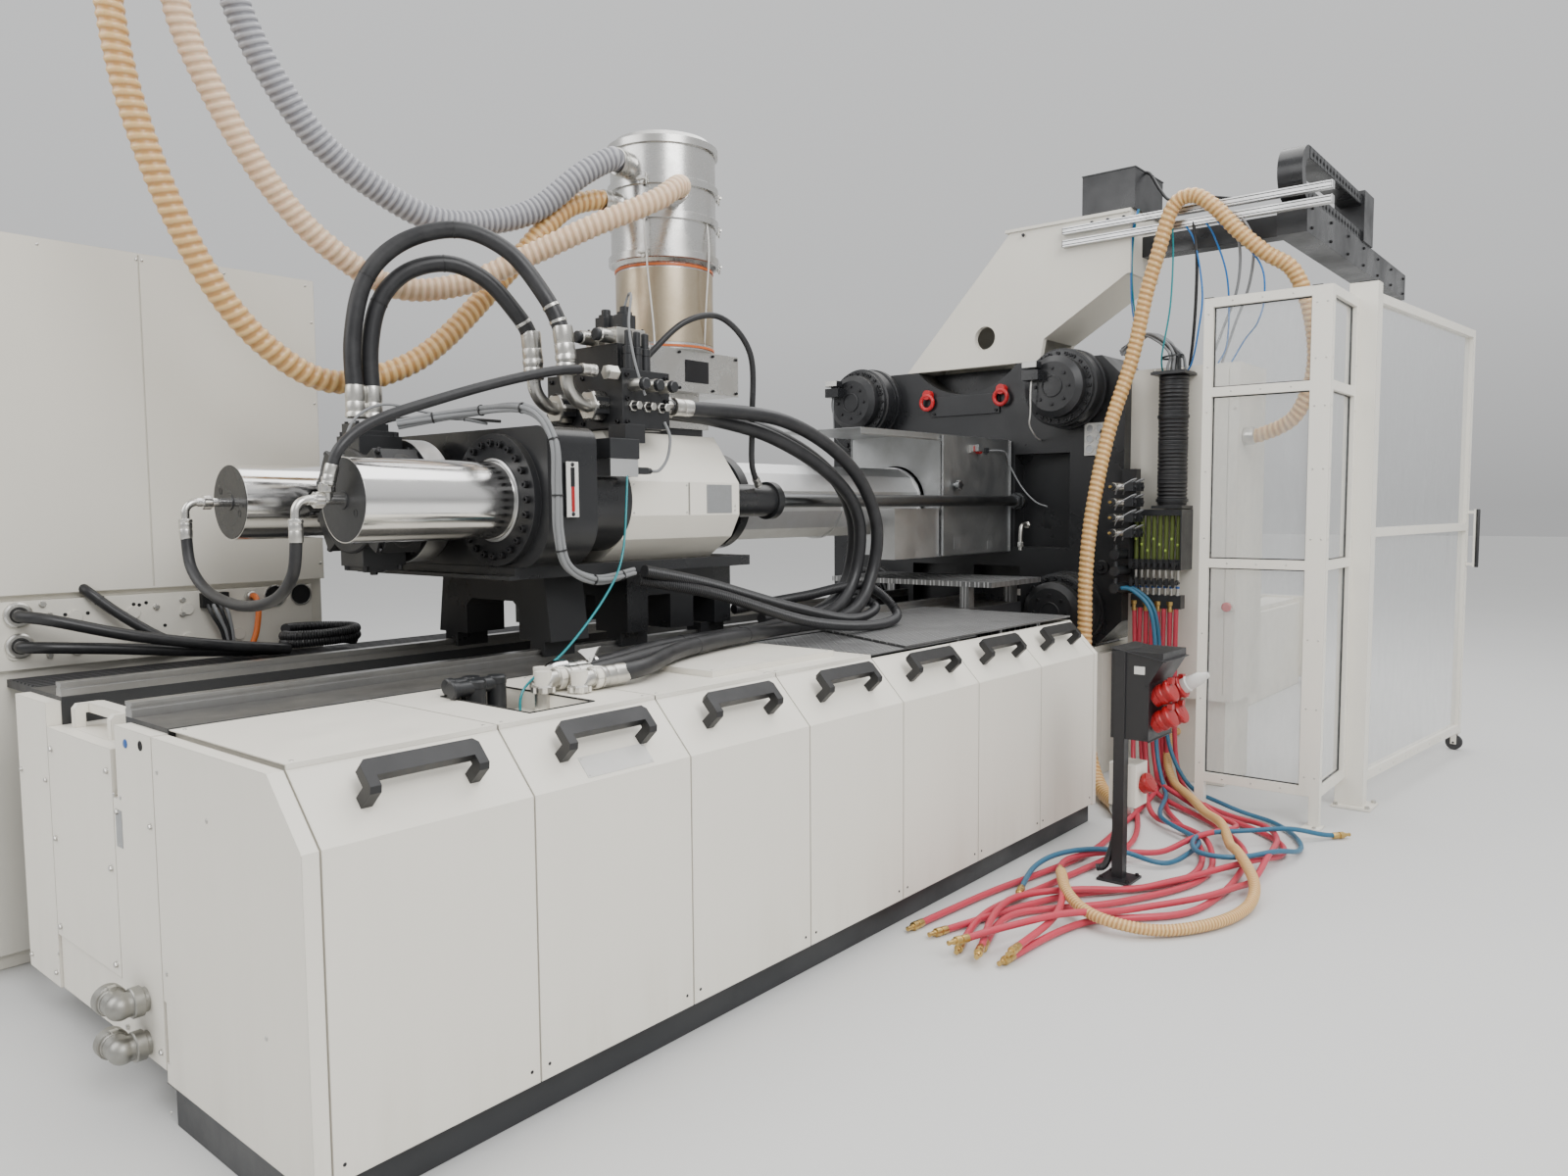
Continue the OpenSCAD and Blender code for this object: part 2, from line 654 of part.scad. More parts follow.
module bell_casting() color("#222325") {
    difference() {
        union() {
            turned([bell_x, 0, axis_z], [
                [0, 0], [330, 0], [330, 45], [300, 60], [285, 130], [245, 230], [222, 300],
                [222, bell_l - 60], [236, bell_l - 55], [236, bell_l], [0, bell_l]
            ]);
            // cylinders of the carriage rods, tied to the casting by a yoke
            for (s = [-1, 1]) {
                rod([bell_x, s * plunger_y, axis_z], 74, bell_l - 50);
                rod([bell_x + bell_l - 90, s * plunger_y, axis_z], 88, 40);
            }
            span([bell_x, -plunger_y, axis_z - 70], [bell_x + 120, plunger_y, axis_z + 70]);
            // pad below the hopper and lower support
            span([hopper_x - 110, -130, axis_z], [hopper_x + 110, 130, hopper_base]);
            span([bell_x, -200, base_z], [bell_x + 160, 200, axis_z]);
        }
        rod([bell_x - 1, 0, axis_z], screw_r + fit, bell_l + 2);
        span([bell_x - 1, -400, base_z - 200], [bell_x + 200, 400, base_z]);
        for (s = [-1, 1]) {
            rod([bell_x - 1, s * plunger_y, axis_z], rod_r + fit, bell_l + 2);
        }
        translate([hopper_x, 0, axis_z]) cylinder(h = 400, r = 55);
    }
    ring_x([bell_x + bell_l - 60, 0, axis_z], 210, 12) cap_screw(12, 14);
}

barrel_end = platen_x + 30;
module barrel() color("#55575a") {
    difference() {
        union() {
            rod([jacket_x, 0, axis_z], barrel_r, barrel_end - jacket_x);
            // nozzle
            turned([barrel_end, 0, axis_z], [
                [0, 0], [120, 0], [120, 50], [60, 90], [60, 250], [26, 300], [26, 355], [0, 362]
            ]);
            // heater bands
            for (x = [jacket_end + 30 : 160 : platen_x - 160]) {
                rod([x, 0, axis_z], barrel_r + 16, 120);
            }
        }
        rod([jacket_x - 1, 0, axis_z], screw_r + fit, barrel_end - jacket_x + 1);
        rod([barrel_end - 1, 0, axis_z], 16, 400);
        // seat of the screw's tip
        turned([barrel_end - 1, 0, axis_z], [[0, 0], [screw_r + fit, 0], [16, tip_seat], [0, tip_seat]]);
    }
}

module barrel_jacket() color("#aeb0b1") {
    // twelve-sided ribbed jacket
    difference() {
        translate([jacket_x, 0, axis_z]) rotate([0, 90, 0]) rotate(15) cylinder(h = jacket_l, r = jacket_r, $fn = 12);
        rod([jacket_x - 1, 0, axis_z], barrel_r + 4, jacket_l + 2);
    }
    for (x = [jacket_x + 20, jacket_x + jacket_l * 0.5, jacket_end - 36]) {
        difference() {
            rod([x, 0, axis_z], jacket_r + 6, 16);
            translate([x - 1, 0, axis_z]) rotate([0, 90, 0]) rotate(15) cylinder(h = 18, r = jacket_r - 0.5, $fn = 12);
        }
    }
    // terminal box at the near side
    span([jacket_end - 480, -325, axis_z - 331], [jacket_end - 8, -160, axis_z - 43]);
    span([jacket_end - 480, -175, axis_z - 100], [jacket_end - 8, -160, axis_z - 42]);
}

module hopper() color("#b9bbbc") {
    base = hopper_base;
    r = hopper_r;
    // throat, slide gate box and cylinder
    difference() {
        union() {
            span([hopper_x - 140, -140, base], [hopper_x + 140, 140, base + 30]);
            span([hopper_x - 110, -110, base + 29], [hopper_x + 110, 110, base + 166]);
            span([hopper_x - 280, -190, base + 165], [hopper_x + 300, 190, base + 355]);
        }
        translate([hopper_x, 0, base - 1]) cylinder(h = 400, r = 55);
    }
    difference() {
        union() {
            // cylinder with its clamp rings
            turned_z([hopper_x, 0, 0], concat(
                [[0, base + 355], [r * 0.92, base + 355], [r * 0.92, base + 735]],
                [for (z = [755, 925, 1075, hopper_z - base - 60]) for (k = ring_steps) [r + k[0], base + z + k[1]]],
                [[r - 20, hopper_z], [0, hopper_z]]
            ));
            // stubs of the two air lines and of the material line
            for (k = hopper_stubs) {
                translate([hopper_x, 0, k[1]]) rotate([0, 0, k[0]]) rod([r - 40, 0, 0], k[2], 110);
            }
        }
        translate([hopper_x, 0, base + 354]) cylinder(h = 20, r = 55);
    }
}
ring_steps = [[0, 0], [13, 2], [13, 34], [0, 36]];
// direction, height and radius of each stub on the hopper
hopper_stubs = [[168, hopper_z - 304, 50], [238, hopper_z - 280, 50], [186, hopper_z - 150, 56]];

// A turned body about the Z direction, profile as [radius, z]
module turned_z(p, pts) {
    translate(p) rotate_extrude() polygon(pts);
}

module plungers() color("#c9cccf") {
    for (s = [-1, 1]) {
        difference() {
            rod([plunger_x, s * plunger_y, axis_z], plunger_r, cross_x - plunger_x);
            // blind holes of the end face
            for (a = [30, 210]) {
                translate([plunger_x - 1, s * plunger_y, axis_z]) rotate([a, 0, 0]) translate([0, 85, 0]) {
                    rotate([0, 90, 0]) cylinder(h = 26, r = 9);
                }
            }
        }
        // pressure fitting in the middle
        rod([port_x + 40.3, s * plunger_y, axis_z], 16, plunger_x - port_x - 40);
        translate([port_x + 60, s * plunger_y, axis_z]) rotate([0, 90, 0]) cylinder(h = 30, r = 26, $fn = 6);
        if (s < 0) {
            // tee of the pressure line
            translate([port_x + 106, -plunger_y, axis_z]) cylinder(h = 74, r = 16);
            translate([port_x + 106, -plunger_y, axis_z + 30]) cylinder(h = 26, r = 25, $fn = 6);
        }
    }
    // crosshead that ties the plungers to the screw
    difference() {
        span([cross_x - 0.5, -plunger_y - plunger_r, axis_z - 120], [cross_x + cross_t, plunger_y + plunger_r, axis_z + 120]);
        rod([cross_x - 1, 0, axis_z], 75 + fit, cross_t + 2);
        for (s = [-1, 1]) {
            rod([cross_x + cross_t - 30, s * plunger_y, axis_z], rod_r + 8, 40);
        }
    }
}

screw_end = barrel_end - inject_travel - 20;
tip_seat = 100;
module screw() color("#a7a9ab") {
    // drive shaft, thrust collars and journal
    rod([drum_x + 10, 0, axis_z], 45, cross_x - drum_x);
    rod([cross_x - 14, 0, axis_z], 90, 13);
    rod([cross_x - 2, 0, axis_z], 75, cross_t + 4);
    rod([cross_x + cross_t + 1, 0, axis_z], 90, 14);
    // root and flights
    rod([cross_x + cross_t, 0, axis_z], screw_r * 0.78, screw_end - cross_x - cross_t);
    for (x = [bell_x + 40 : 130 : screw_end - 60]) {
        turned([x, 0, axis_z], [[screw_r * 0.7, -16], [screw_r, -7], [screw_r, 7], [screw_r * 0.7, 16]]);
    }
    // tip
    turned([screw_end - 1, 0, axis_z], [[0, 0], [screw_r * 0.9, 0], [screw_r * 0.9, 30], [0, 110]]);
}

rod_in = bell_x + bell_l - unit_travel - 30;
module carriage_rods() color("#595c5e") {
    for (s = [-1, 1]) {
        rod([rod_in, s * plunger_y, axis_z], rod_r, platen_x - rod_in);
        // flange on the platen
        rod([platen_x - 46, s * plunger_y, axis_z], rod_r + 21, 46);
        translate([platen_x - 90, s * plunger_y, axis_z]) rotate([0, 90, 0]) cylinder(h = 45, r = rod_r + 18, $fn = 6);
    }
}

purge_y = 325;
purge_top = axis_z + 395;
purge_low = axis_z - 332;
module purge_guard() color("#b4b6b7") {
    g = sheet;
    // roof that reaches over the barrel, far side and end wall
    span([jacket_end - 800, -purge_y, purge_top - g], [platen_x, purge_y, purge_top]);
    span([jacket_end - 800, -purge_y, purge_top - 40], [platen_x, -purge_y + g, purge_top]);
    span([jacket_end, purge_y - g, purge_low], [platen_x, purge_y, purge_top]);
    span([jacket_end, -purge_y, purge_low], [platen_x, -purge_y + 30, purge_low + g]);
    // end wall with the passage of the barrel
    difference() {
        span([jacket_end + 6, -purge_y, purge_low], [jacket_end + 6 + g, purge_y, purge_top]);
        rod([jacket_end, 0, axis_z], jacket_r + 14, 20);
    }
    // slide rails of the door
    span([jacket_end - 800, -purge_y - 6, purge_top - 34], [platen_x, -purge_y, purge_top - 28]);
    // flange on the platen
    span([platen_x - 8, -purge_y - 4, purge_low], [platen_x, -purge_y + 26, purge_top]);
    span([platen_x - 8, purge_y - 30, purge_low], [platen_x, purge_y + 10, purge_top]);
}

module purge_door() color("#a9acad") {
    y0 = -purge_y - 9;
    // folded sheet door that slides back over the barrel
    span([jacket_end + 2, y0 - sheet, purge_low + 6], [platen_x - 12, y0, purge_top - 8]);
    span([jacket_end + 2, y0 - 14, purge_low + 6], [jacket_end + 2 + sheet, y0, purge_top - 8]);
    span([platen_x - 15, y0 - 14, purge_low + 6], [platen_x - 12, y0, purge_top - 8]);
    span([jacket_end + 2, y0, purge_top - 42], [platen_x - 12, y0 + 8.5, purge_top - 35]);
    // star knob and interlock
    translate([jacket_end + 150, y0 - sheet, axis_z + 95]) rotate([90, 0, 0]) {
        cylinder(h = 26, r = 12);
        translate([0, 0, 22]) cylinder(h = 20, r = 30);
    }
    span([jacket_end + 360, y0 - 45, purge_top - 90], [jacket_end + 430, y0 - sheet, purge_top - 50]);
}

// Outline of a platen in Y and Z with cut corners
function platen_pts(c) = [
    [-platen_w, platen_z0 + c], [-platen_w, platen_z1 - c], [-platen_w + c, platen_z1],
    [platen_w - c, platen_z1], [platen_w, platen_z1 - c], [platen_w, platen_z0 + c],
    [platen_w - c, platen_z0], [-platen_w + c, platen_z0]
];

// Tie bar centres
module ties() {
    for (y = [-tie_y, tie_y], z = [-tie_z, tie_z]) {
        translate([0, y, axis_z + z]) children();
    }
}

// Bolt holes of a mould face, open towards +X
module bolt_field(x, l) {
    for (i = [-3 : 3], j = [-2 : 2]) {
        if (abs(i) + abs(j) > 1) {
            rod([x, i * bolt_pitch, axis_z + j * bolt_pitch], bolt_r, l);
        }
    }
}

module fixed_platen() color("#212224") {
    difference() {
        along(platen_x, platen_t) polygon(platen_pts(150));
        // scooped recess at the top and pockets between the ribs
        rod([platen_x - 1, 0, platen_z1 + 330], 500, 220);
        for (s = [-1, 1]) {
            span([platen_x - 1, s * 560 - 190, axis_z - 300], [platen_x + 120, s * 560 + 190, axis_z + 300]);
            span([platen_x - 1, s * 240 - 170, platen_z0 + 140], [platen_x + 120, s * 240 + 170, platen_z0 + 470]);
        }
        // nozzle passage and centring bore
        turned([platen_x - 1, 0, axis_z], [
            [0, 0], [270, 0], [190, platen_t - 110], [centring_r - 40, platen_t - 40],
            [centring_r - 40, platen_t + 5], [0, platen_t + 5]
        ]);
        rod([platen_x + platen_t - 40, 0, axis_z], centring_r, 41);
        ties() rod([platen_x - 1, 0, 0], tie_r + fit, platen_t + 2);
        bolt_field(platen_x + platen_t - 60, 61);
    }
    // feet of the platen on the clamp bed
    both() span([platen_x + 40, -platen_w + 180, platen_z0 - 22], [platen_x + platen_t - 40, -platen_w + 420, platen_z0]);
}

module lock_cylinders() color("#1c1d1f") {
    ties() {
        turned([platen_x - lock_l, 0, 0], [
            [0, 0], [150, 0], [187, 24], [187, 78], [lock_r - 14, 82], [lock_r - 14, 110], [lock_r, 114],
            [lock_r, 190], [lock_r - 12, 194], [lock_r - 12, 222], [lock_r + 8, 226], [lock_r + 8, lock_l], [0, lock_l]
        ]);
        ring_x([platen_x - lock_l + 82, 0, 0], lock_r - 32, 16) cap_screw(11, 12);
    }
    // sensor box with its tag plate on each upper cylinder
    for (y = [-tie_y, tie_y]) {
        span([platen_x - lock_l - 70, y + 60, axis_z + tie_z + 40], [platen_x - lock_l + 20, y + 170, axis_z + tie_z + 100]);
        span([platen_x - lock_l - 73, y + 66, axis_z + tie_z + 112], [platen_x - lock_l - 10, y + 164, axis_z + tie_z + 150]);
        span([platen_x - lock_l - 40, y + 90, axis_z + tie_z + 99], [platen_x - lock_l - 20, y + 140, axis_z + tie_z + 114]);
    }
}

module lifting_eyes() color("#c8242c") {
    for (y = [-280, 280]) {
        translate([platen_x - 44, y, axis_z + 725]) {
            // swivel body on the platen
            rotate([0, 90, 0]) cylinder(h = 44, r = 32);
            // ring that hangs from it
            translate([8, 0, -52]) rotate([0, 90, 0]) rotate_extrude() translate([46, 0]) circle(r = 13, $fn = 24);
        }
    }
}

module tie_bars() color("#8e9193") {
    ties() rod([platen_x + 1, 0, 0], tie_r, moving_x + platen_t + 420 - platen_x);
}

module clamp_bed() color("#d8d4ca") {
    // two side beams, cross walls and the end cover
    both() span([platen_x, -platen_w + 120, 0], [machine_end - 60, -platen_w + 480, platen_z0 - 60]);
    for (x = [platen_x, moving_x - 400, machine_end - 300]) {
        span([x, -platen_w + 480, 60], [x + 200, platen_w - 480, platen_z0 - 160]);
    }
    span([machine_end - 60, -platen_w + 40, 60], [machine_end, platen_w - 40, platen_z0]);
    // slideways that carry both platens
    both() span([platen_x, -platen_w + 170, platen_z0 - 60], [machine_end - 60, -platen_w + 430, platen_z0 - 22]);
    // tie between both beds
    span([platen_x - 300, -beam_out + 20, 60], [platen_x, beam_out - 20, 299]);
}

module moving_platen() color("#212224") {
    difference() {
        union() {
            along(moving_x, platen_t) polygon(platen_pts(150));
            // rear boxes that hold the lock nuts
            ties() rod([moving_x + platen_t, 0, 0], lock_r - 20, 220);
            both() {
                span([moving_x - 200, -platen_w + 190, platen_z0 - 22 + fit], [moving_x + platen_t + 200, -platen_w + 410, platen_z0 + 60]);
            }
        }
        ties() rod([moving_x - 1, 0, 0], tie_r + fit, platen_t + 230);
        rod([moving_x - 1, 0, axis_z], centring_r, 40);
        mirror([1, 0, 0]) bolt_field(-moving_x - 60, 61);
        // ejector holes
        for (y = [-200, 0, 200]) {
            rod([moving_x - 1, y, axis_z], 25 + fit, platen_t + 2);
        }
    }
    // guide columns of the ejector plate
    for (z = [-190, 190]) {
        rod([moving_x + platen_t, 0, axis_z + z], 30, 420);
    }
}

module ejector() color("#6a6d70") {
    difference() {
        span([moving_x + platen_t + 300, -320, axis_z - 260], [moving_x + platen_t + 360, 320, axis_z + 260]);
        for (z = [-190, 190]) {
            rod([moving_x + platen_t + 299, 0, axis_z + z], 30 + fit, 62);
        }
    }
    for (y = [-200, 0, 200]) {
        rod([moving_x + 120, y, axis_z], 25, platen_t + 181);
    }
}

module robot_console() color("#dcd8cd") {
    w = 40;
    // upright plate with its round hole
    difference() {
        along(platen_x, w) polygon([
            [461, platen_z1], [-322, platen_z1 + 830], [-platen_w, platen_z1 + 830], [-platen_w, platen_z1 + 470],
            [-562, platen_z1 + 135], [-537, platen_z1]
        ]);
        rod([platen_x - 1, -143, platen_z1 + 184], 75, w + 2);
    }
    // second plate, top flange, edge plates and foot on the platen
    along(platen_x + platen_t - w, w) polygon([
        [461, platen_z1], [-322, platen_z1 + 830], [-platen_w, platen_z1 + 830], [-platen_w, platen_z1 + 470],
        [-562, platen_z1 + 135], [-537, platen_z1]
    ]);
    span([platen_x - 12, -platen_w - 20, platen_z1 + 830], [platen_x + platen_t, -290, platen_z1 + 850]);
    span([platen_x, -platen_w - 20, platen_z1 + 470], [platen_x + platen_t, -platen_w, platen_z1 + 830]);
    along(platen_x + w - 0.5, platen_t - w * 2 + 1) polygon([
        [-platen_w, platen_z1 + 470], [-562, platen_z1 + 135], [-562, platen_z1 + 160], [-platen_w, platen_z1 + 495]
    ]);
    along(platen_x + w - 0.5, platen_t - w * 2 + 1) polygon([
        [461, platen_z1], [-322, platen_z1 + 830], [-345, platen_z1 + 830], [438, platen_z1]
    ]);
}

module console_box() {
    // control box and the two light profiles that carry the beam
    span([platen_x + 10, -1138, platen_z1 + 850], [platen_x + platen_t, -805, platen_z1 + 1090]);
    for (z = [792, 716]) {
        span([platen_x - 45, -2230, platen_z1 + z - 40], [platen_x - 0.3, -700, platen_z1 + z]);
    }
}

beam_x0 = platen_x + 160;
beam_low = platen_z1 + 590;
module robot_beam() color("#1e1f22") {
    console_box();
    // beam along the machine on a bracket of the console
    span([beam_x0, -2060, beam_low], [beam_x0 + 2700, -1900, beam_low + 180]);
    span([platen_x + 180, -1900, beam_low], [platen_x + 300, -platen_w - 20, beam_low + 120]);
    // energy chain: lower run, bend and upper run
    for (x = [beam_x0 + 60 : 75 : beam_x0 + 1500]) {
        span([x, -2050, beam_low + 180], [x + 62, -1920, beam_low + 250]);
    }
    span([beam_x0 + 60, -2030, beam_low + 195], [beam_x0 + 1560, -1940, beam_low + 235]);
    translate([beam_x0 + 60, -1920, beam_low + 330]) rotate([90, 0, 0]) difference() {
        cylinder(h = 130, r = 150);
        translate([0, 0, -1]) cylinder(h = 132, r = 80);
        translate([0, -200, -1]) cube([200, 400, 132]);
    }
    span([beam_x0 + 59, -2050, beam_low + 410], [beam_x0 + 1400, -1920, beam_low + 480]);
    span([beam_x0 + 1300, -2070, beam_low + 180], [beam_x0 + 1560, -1890, beam_low + 500]);
}

op_y = -platen_w;
module operator_cabinet() color("#e0dcd1") {
    difference() {
        union() {
            span([op_x, op_y - op_w, 520], [op_x + op_l, op_y - 0.3, op_z]);
            span([op_x + 60, op_y - op_w + 60, 0], [op_x + op_l, op_y - 60, 520]);
        }
        // folded door seam and the bore of the push button
        span([op_x - 1, op_y - op_w + 58, 560], [op_x + 3, op_y - op_w + 62, op_z - 40]);
        rod([op_x - 1, op_y - 603, 1086], 11, 60);
    }
    // handle strip and hinges
    for (z = [760, 1500, 2240]) {
        rod([op_x - 6, op_y - op_w + 24, z], 7, 6);
    }
    // yellow collar of the stop button
    difference() {
        rod([op_x - 14, op_y - 603, 1086], 32, 14);
        rod([op_x - 15, op_y - 603, 1086], 11, 16);
    }
}

module emergency_stop() color("#c01f26") {
    rod([op_x - 22, op_y - 603, 1086], 10, 60);
    turned([op_x - 48, op_y - 603, 1086], [[0, 0], [20, 0], [28, 8], [28, 18], [18, 26], [0, 26]]);
}

module cable_conduit() color("#202124") {
    // ribbed conduit with its upper clamp plate, set on the cabinet face
    x = op_x - 95;
    y = op_y - 295;
    difference() {
        union() {
            translate([x, y, 1665]) cylinder(h = 785, r = 76);
            for (z = [1690 : 25 : 2420]) {
                translate([x, y, z]) cylinder(h = 12, r = 84);
            }
            span([x - 110, y - 100, 2440], [op_x, y + 100, 2455]);
            span([x - 90, y - 90, 1662], [op_x, y + 90, 1677]);
        }
        translate([x, y, 1650]) cylinder(h = 900, r = 68);
    }
}

module water_battery() color("#35373a") {
    water_valves();
    flowmeters();
}

module water_valves() {
    // valve rows that hang on the face beside the platen
    x = platen_x - 60;
    y = -platen_w - 30;
    span([x + 30, y - 60, 1150], [platen_x + 40, y + 28, 1900]);
    for (j = [0 : 3]) {
        z = 1520 + j * 90;
        rod([x - 250, y - 20, z], 22, 290);
        for (i = [0 : 1]) {
            translate([x - 60 - i * 110, y - 20, z]) rotate([90, 0, 0]) cylinder(h = 60, r = 18);
            span([x - 85 - i * 110, y - 130, z - 24], [x - 35 - i * 110, y - 80, z + 24]);
        }
    }
    for (j = [0 : 2]) {
        z = 1190 + j * 100;
        rod([x - 160, y - 10, z], 30, 200);
        translate([x - 140, y - 10, z]) cylinder(h = 60, r = 14);
    }
}

module flowmeters() {
    x = op_x - 150;
    y0 = op_y - 380;
    y1 = op_y - 80;
    // frame plates and manifold bars
    span([x - 40, y0 - 8, 1300], [op_x, y0, 1656]);
    span([x - 40, y1, 1300], [op_x, y1 + 8, 1656]);
    span([x - 30, y0, 1620], [x + 60, y1, 1656]);
    span([x - 30, y0, 1300], [x + 60, y1, 1360]);
    span([x - 10, y0, 1070], [x + 60, y1, 1150]);
    // glass tubes, levers and hose tails
    for (i = [0 : 7]) {
        y = y0 + 22 + i * 36;
        translate([x, y, 1360]) cylinder(h = 260, r = 12);
        translate([x, y, 1150]) cylinder(h = 150, r = 9);
        for (k = [0, 1]) {
            rod([x - 75, y, 1336 - k * 110], 7, 75);
            span([x - 85, y - 9, 1318 - k * 110], [x - 70, y + 9, 1350 - k * 110]);
        }
        span([x - 12, y - 8, 1216], [x + 12, y + 8, 1240]);
    }
}

// A frame of square profile in the Y and Z plane
module frame_yz(x, y0, y1, z0, z1, bars) {
    w = prof_w;
    span([x, y0, z0], [x + w, y0 + w, z1]);
    span([x, y1 - w, z0], [x + w, y1, z1]);
    for (z = concat([z0, z1 - w], bars)) {
        span([x, y0 + w, z], [x + w, y1 - w, z + w]);
    }
}

module guard_frame() color("#e6e2d7") {
    x = bay_x;
    // bay across the aisle
    frame_yz(x, -bay_y1, -bay_y0, 160, guard_z, [1340, 2260]);
    // return panel to the corner post
    span([x, -bay_y1 - prof_w, 160], [x + prof_w, -bay_y1, guard_z]);
    span([post_x - post_w / 2 - prof_w, -bay_y1 - prof_w, 160], [post_x - post_w / 2, -bay_y1, guard_z]);
    for (z = [160, 1340, 2260, guard_z - prof_w]) {
        span([x + prof_w, -bay_y1 - prof_w, z], [post_x - post_w / 2 - prof_w, -bay_y1, z + prof_w]);
    }
    // corner post with its base plate
    span([post_x - post_w / 2, -post_y - post_w / 2, 12], [post_x + post_w / 2, -bay_y1, post_z]);
    difference() {
        span([post_x - post_w / 2 - 50, -post_y - post_w / 2 - 50, 0], [post_x + post_w / 2 + 50, -post_y + post_w / 2 + 50, 12]);
        for (u = [-1, 1], v = [-1, 1]) {
            translate([post_x + u * (post_w / 2 + 30), -post_y + v * (post_w / 2 + 30), -1]) cylinder(h = 14, r = 7);
        }
    }
    // floor feet of the bay
    for (y = [-bay_y1 - prof_w, -bay_y0 - prof_w]) {
        span([x, y, 8], [x + prof_w, y + prof_w, 160]);
        span([x - 60, y - 20, 0], [x + prof_w, y + prof_w + 20, 8]);
    }
    // hinge leaves of the gate
    for (z = [400, 1500, 2600]) {
        span([post_x + post_w / 2, -gate_y - 5, z - 60], [gate_x, -gate_y + 5, z - 5]);
        translate([gate_x, -gate_y, z - 60]) cylinder(h = 55, r = 10);
        translate([gate_x, -gate_y, z - 5]) cylinder(h = 60, r = 5);
    }
}

module guard_glazing() color("#cfd8dc", 0.4) {
    x = bay_x + prof_w / 2;
    for (z = [[160 + prof_w, 1340], [1340 + prof_w, 2260], [2260 + prof_w, guard_z - prof_w]]) {
        span([x - 2, -bay_y1 + prof_w, z[0]], [x + 2, -bay_y0 - prof_w, z[1]]);
        span([bay_x + prof_w, -bay_y1 - prof_w / 2 - 2, z[0]], [post_x - post_w / 2 - prof_w, -bay_y1 - prof_w / 2 + 2, z[1]]);
    }
}

// Everything of the gate stands in the frame of its hinge line
module at_gate() {
    translate([gate_x, -gate_y, 0]) rotate([0, 0, -gate_rest]) children();
}

gate_top = 2829;
gate_mid = 1496;
module gate_frame() color("#e6e2d7") at_gate() {
    w = prof_w;
    difference() {
        union() {
            span([20, -w / 2, 120], [20 + w, w / 2, gate_top]);
            span([gate_l - w, -w / 2, 120], [gate_l, w / 2, gate_top]);
            for (z = [120, gate_mid, gate_top - w]) {
                span([20 + w, -w / 2, z], [gate_l - w, w / 2, z + w]);
            }
            // hinge barrels
            for (z = [400, 1500, 2600]) {
                translate([0, 0, z]) cylinder(h = 60, r = 11);
                span([0, -5, z], [20.5, 5, z + 60]);
            }
            // fork of the wheel
            span([gate_l - 80, -30, wheel_r * 2 + 12], [gate_l - 10, 30, 120]);
            for (u = [-22, 16]) {
                span([gate_l - 45 + u - 5, -18, wheel_r - 12], [gate_l - 45 + u + 1, 18, wheel_r * 2 + 12]);
            }
            // pull handle
            span([gate_l - 34, -w / 2 - handle_reach, 1250], [gate_l - 14, -w / 2 - handle_reach + 14, 1640]);
            for (z = [1260, 1610]) {
                span([gate_l - 34, -w / 2 - handle_reach + 10, z], [gate_l - 14, -w / 2, z + 20]);
            }
        }
        for (z = [400, 1500, 2600]) {
            translate([0, 0, z - 1]) cylinder(h = 57, r = 5 + fit);
        }
        translate([gate_l - 80, 0, wheel_r]) rotate([0, 90, 0]) cylinder(h = 80, r = 6 + fit);
    }
}

module gate_glazing() color("#cfd8dc", 0.4) at_gate() {
    w = prof_w;
    for (z = [[120 + w, gate_mid], [gate_mid + w, gate_top - w]]) {
        span([20 + w, -2, z[0]], [gate_l - w, 2, z[1]]);
    }
}

module gate_wheel() color("#2a2b2d") at_gate() {
    translate([gate_l - 45 - 20, 0, wheel_r]) rotate([0, 90, 0]) {
        turned_wheel();
    }
}

module turned_wheel() {
    w = 28;
    translate([0, 0, 15 - w / 2]) cylinder(h = w, r = wheel_r);
    translate([0, 0, -14]) cylinder(h = 58, r = 6);
}

module socket_post() color("#17181a") {
    x = 3518;
    y = -1840;
    // foot, post and the sloping socket box
    span([x - 75, y - 75, 0], [x + 75, y + 75, 10]);
    span([x - 25, y - 25, 10], [x + 25, y + 25, 1039]);
    translate([x + 262, 0, 0]) rotate([0, -90, 0]) linear_extrude(280) polygon([
        [645, y - 130], [900, y - 130], [1000, y - 190], [1039, y - 190], [1039, y + 42], [645, y + 42]
    ]);
    // second box lower down
    span([x + 25, y - 60, 330], [x + 150, y + 60, 520]);
    // round sockets with their lids, tilted downwards
    for (u = [0, 1], v = [0, 1]) {
        translate([x + 50 + u * 130, y - 130, 715 + v * 115]) rotate([60, 0, 0]) {
            cylinder(h = 75, r = 42);
            translate([0, 0, 75]) cylinder(h = 14, r = 50);
        }
    }
}

module far_cabinet() color("#d9d5ca") {
    x0 = cab_x - cab_w;
    difference() {
        union() {
            span([x0, cab_y, 1382], [cab_x, cab_y + cab_d, cab_z]);
            span([x0 + 2, cab_y + 30, 60], [cab_x - 2, cab_y + cab_d, 1382]);
            span([x0 + 40, cab_y + 60, 0], [cab_x - 40, cab_y + cab_d - 40, 60]);
        }
        span([x0 + cab_w / 2 - 2, cab_y - 1, 1390], [x0 + cab_w / 2 + 2, cab_y + 3, cab_z - 8]);
    }
    // gland plate with its cable glands
    span([x0 + 100, cab_y, 1110], [cab_x - 60, cab_y + 30, 1360]);
    for (i = [0 : 4], z = [1170, 1290]) {
        translate([x0 + 220 + i * 200, cab_y, z]) rotate([90, 0, 0]) cylinder(h = 8, r = 24);
    }
}

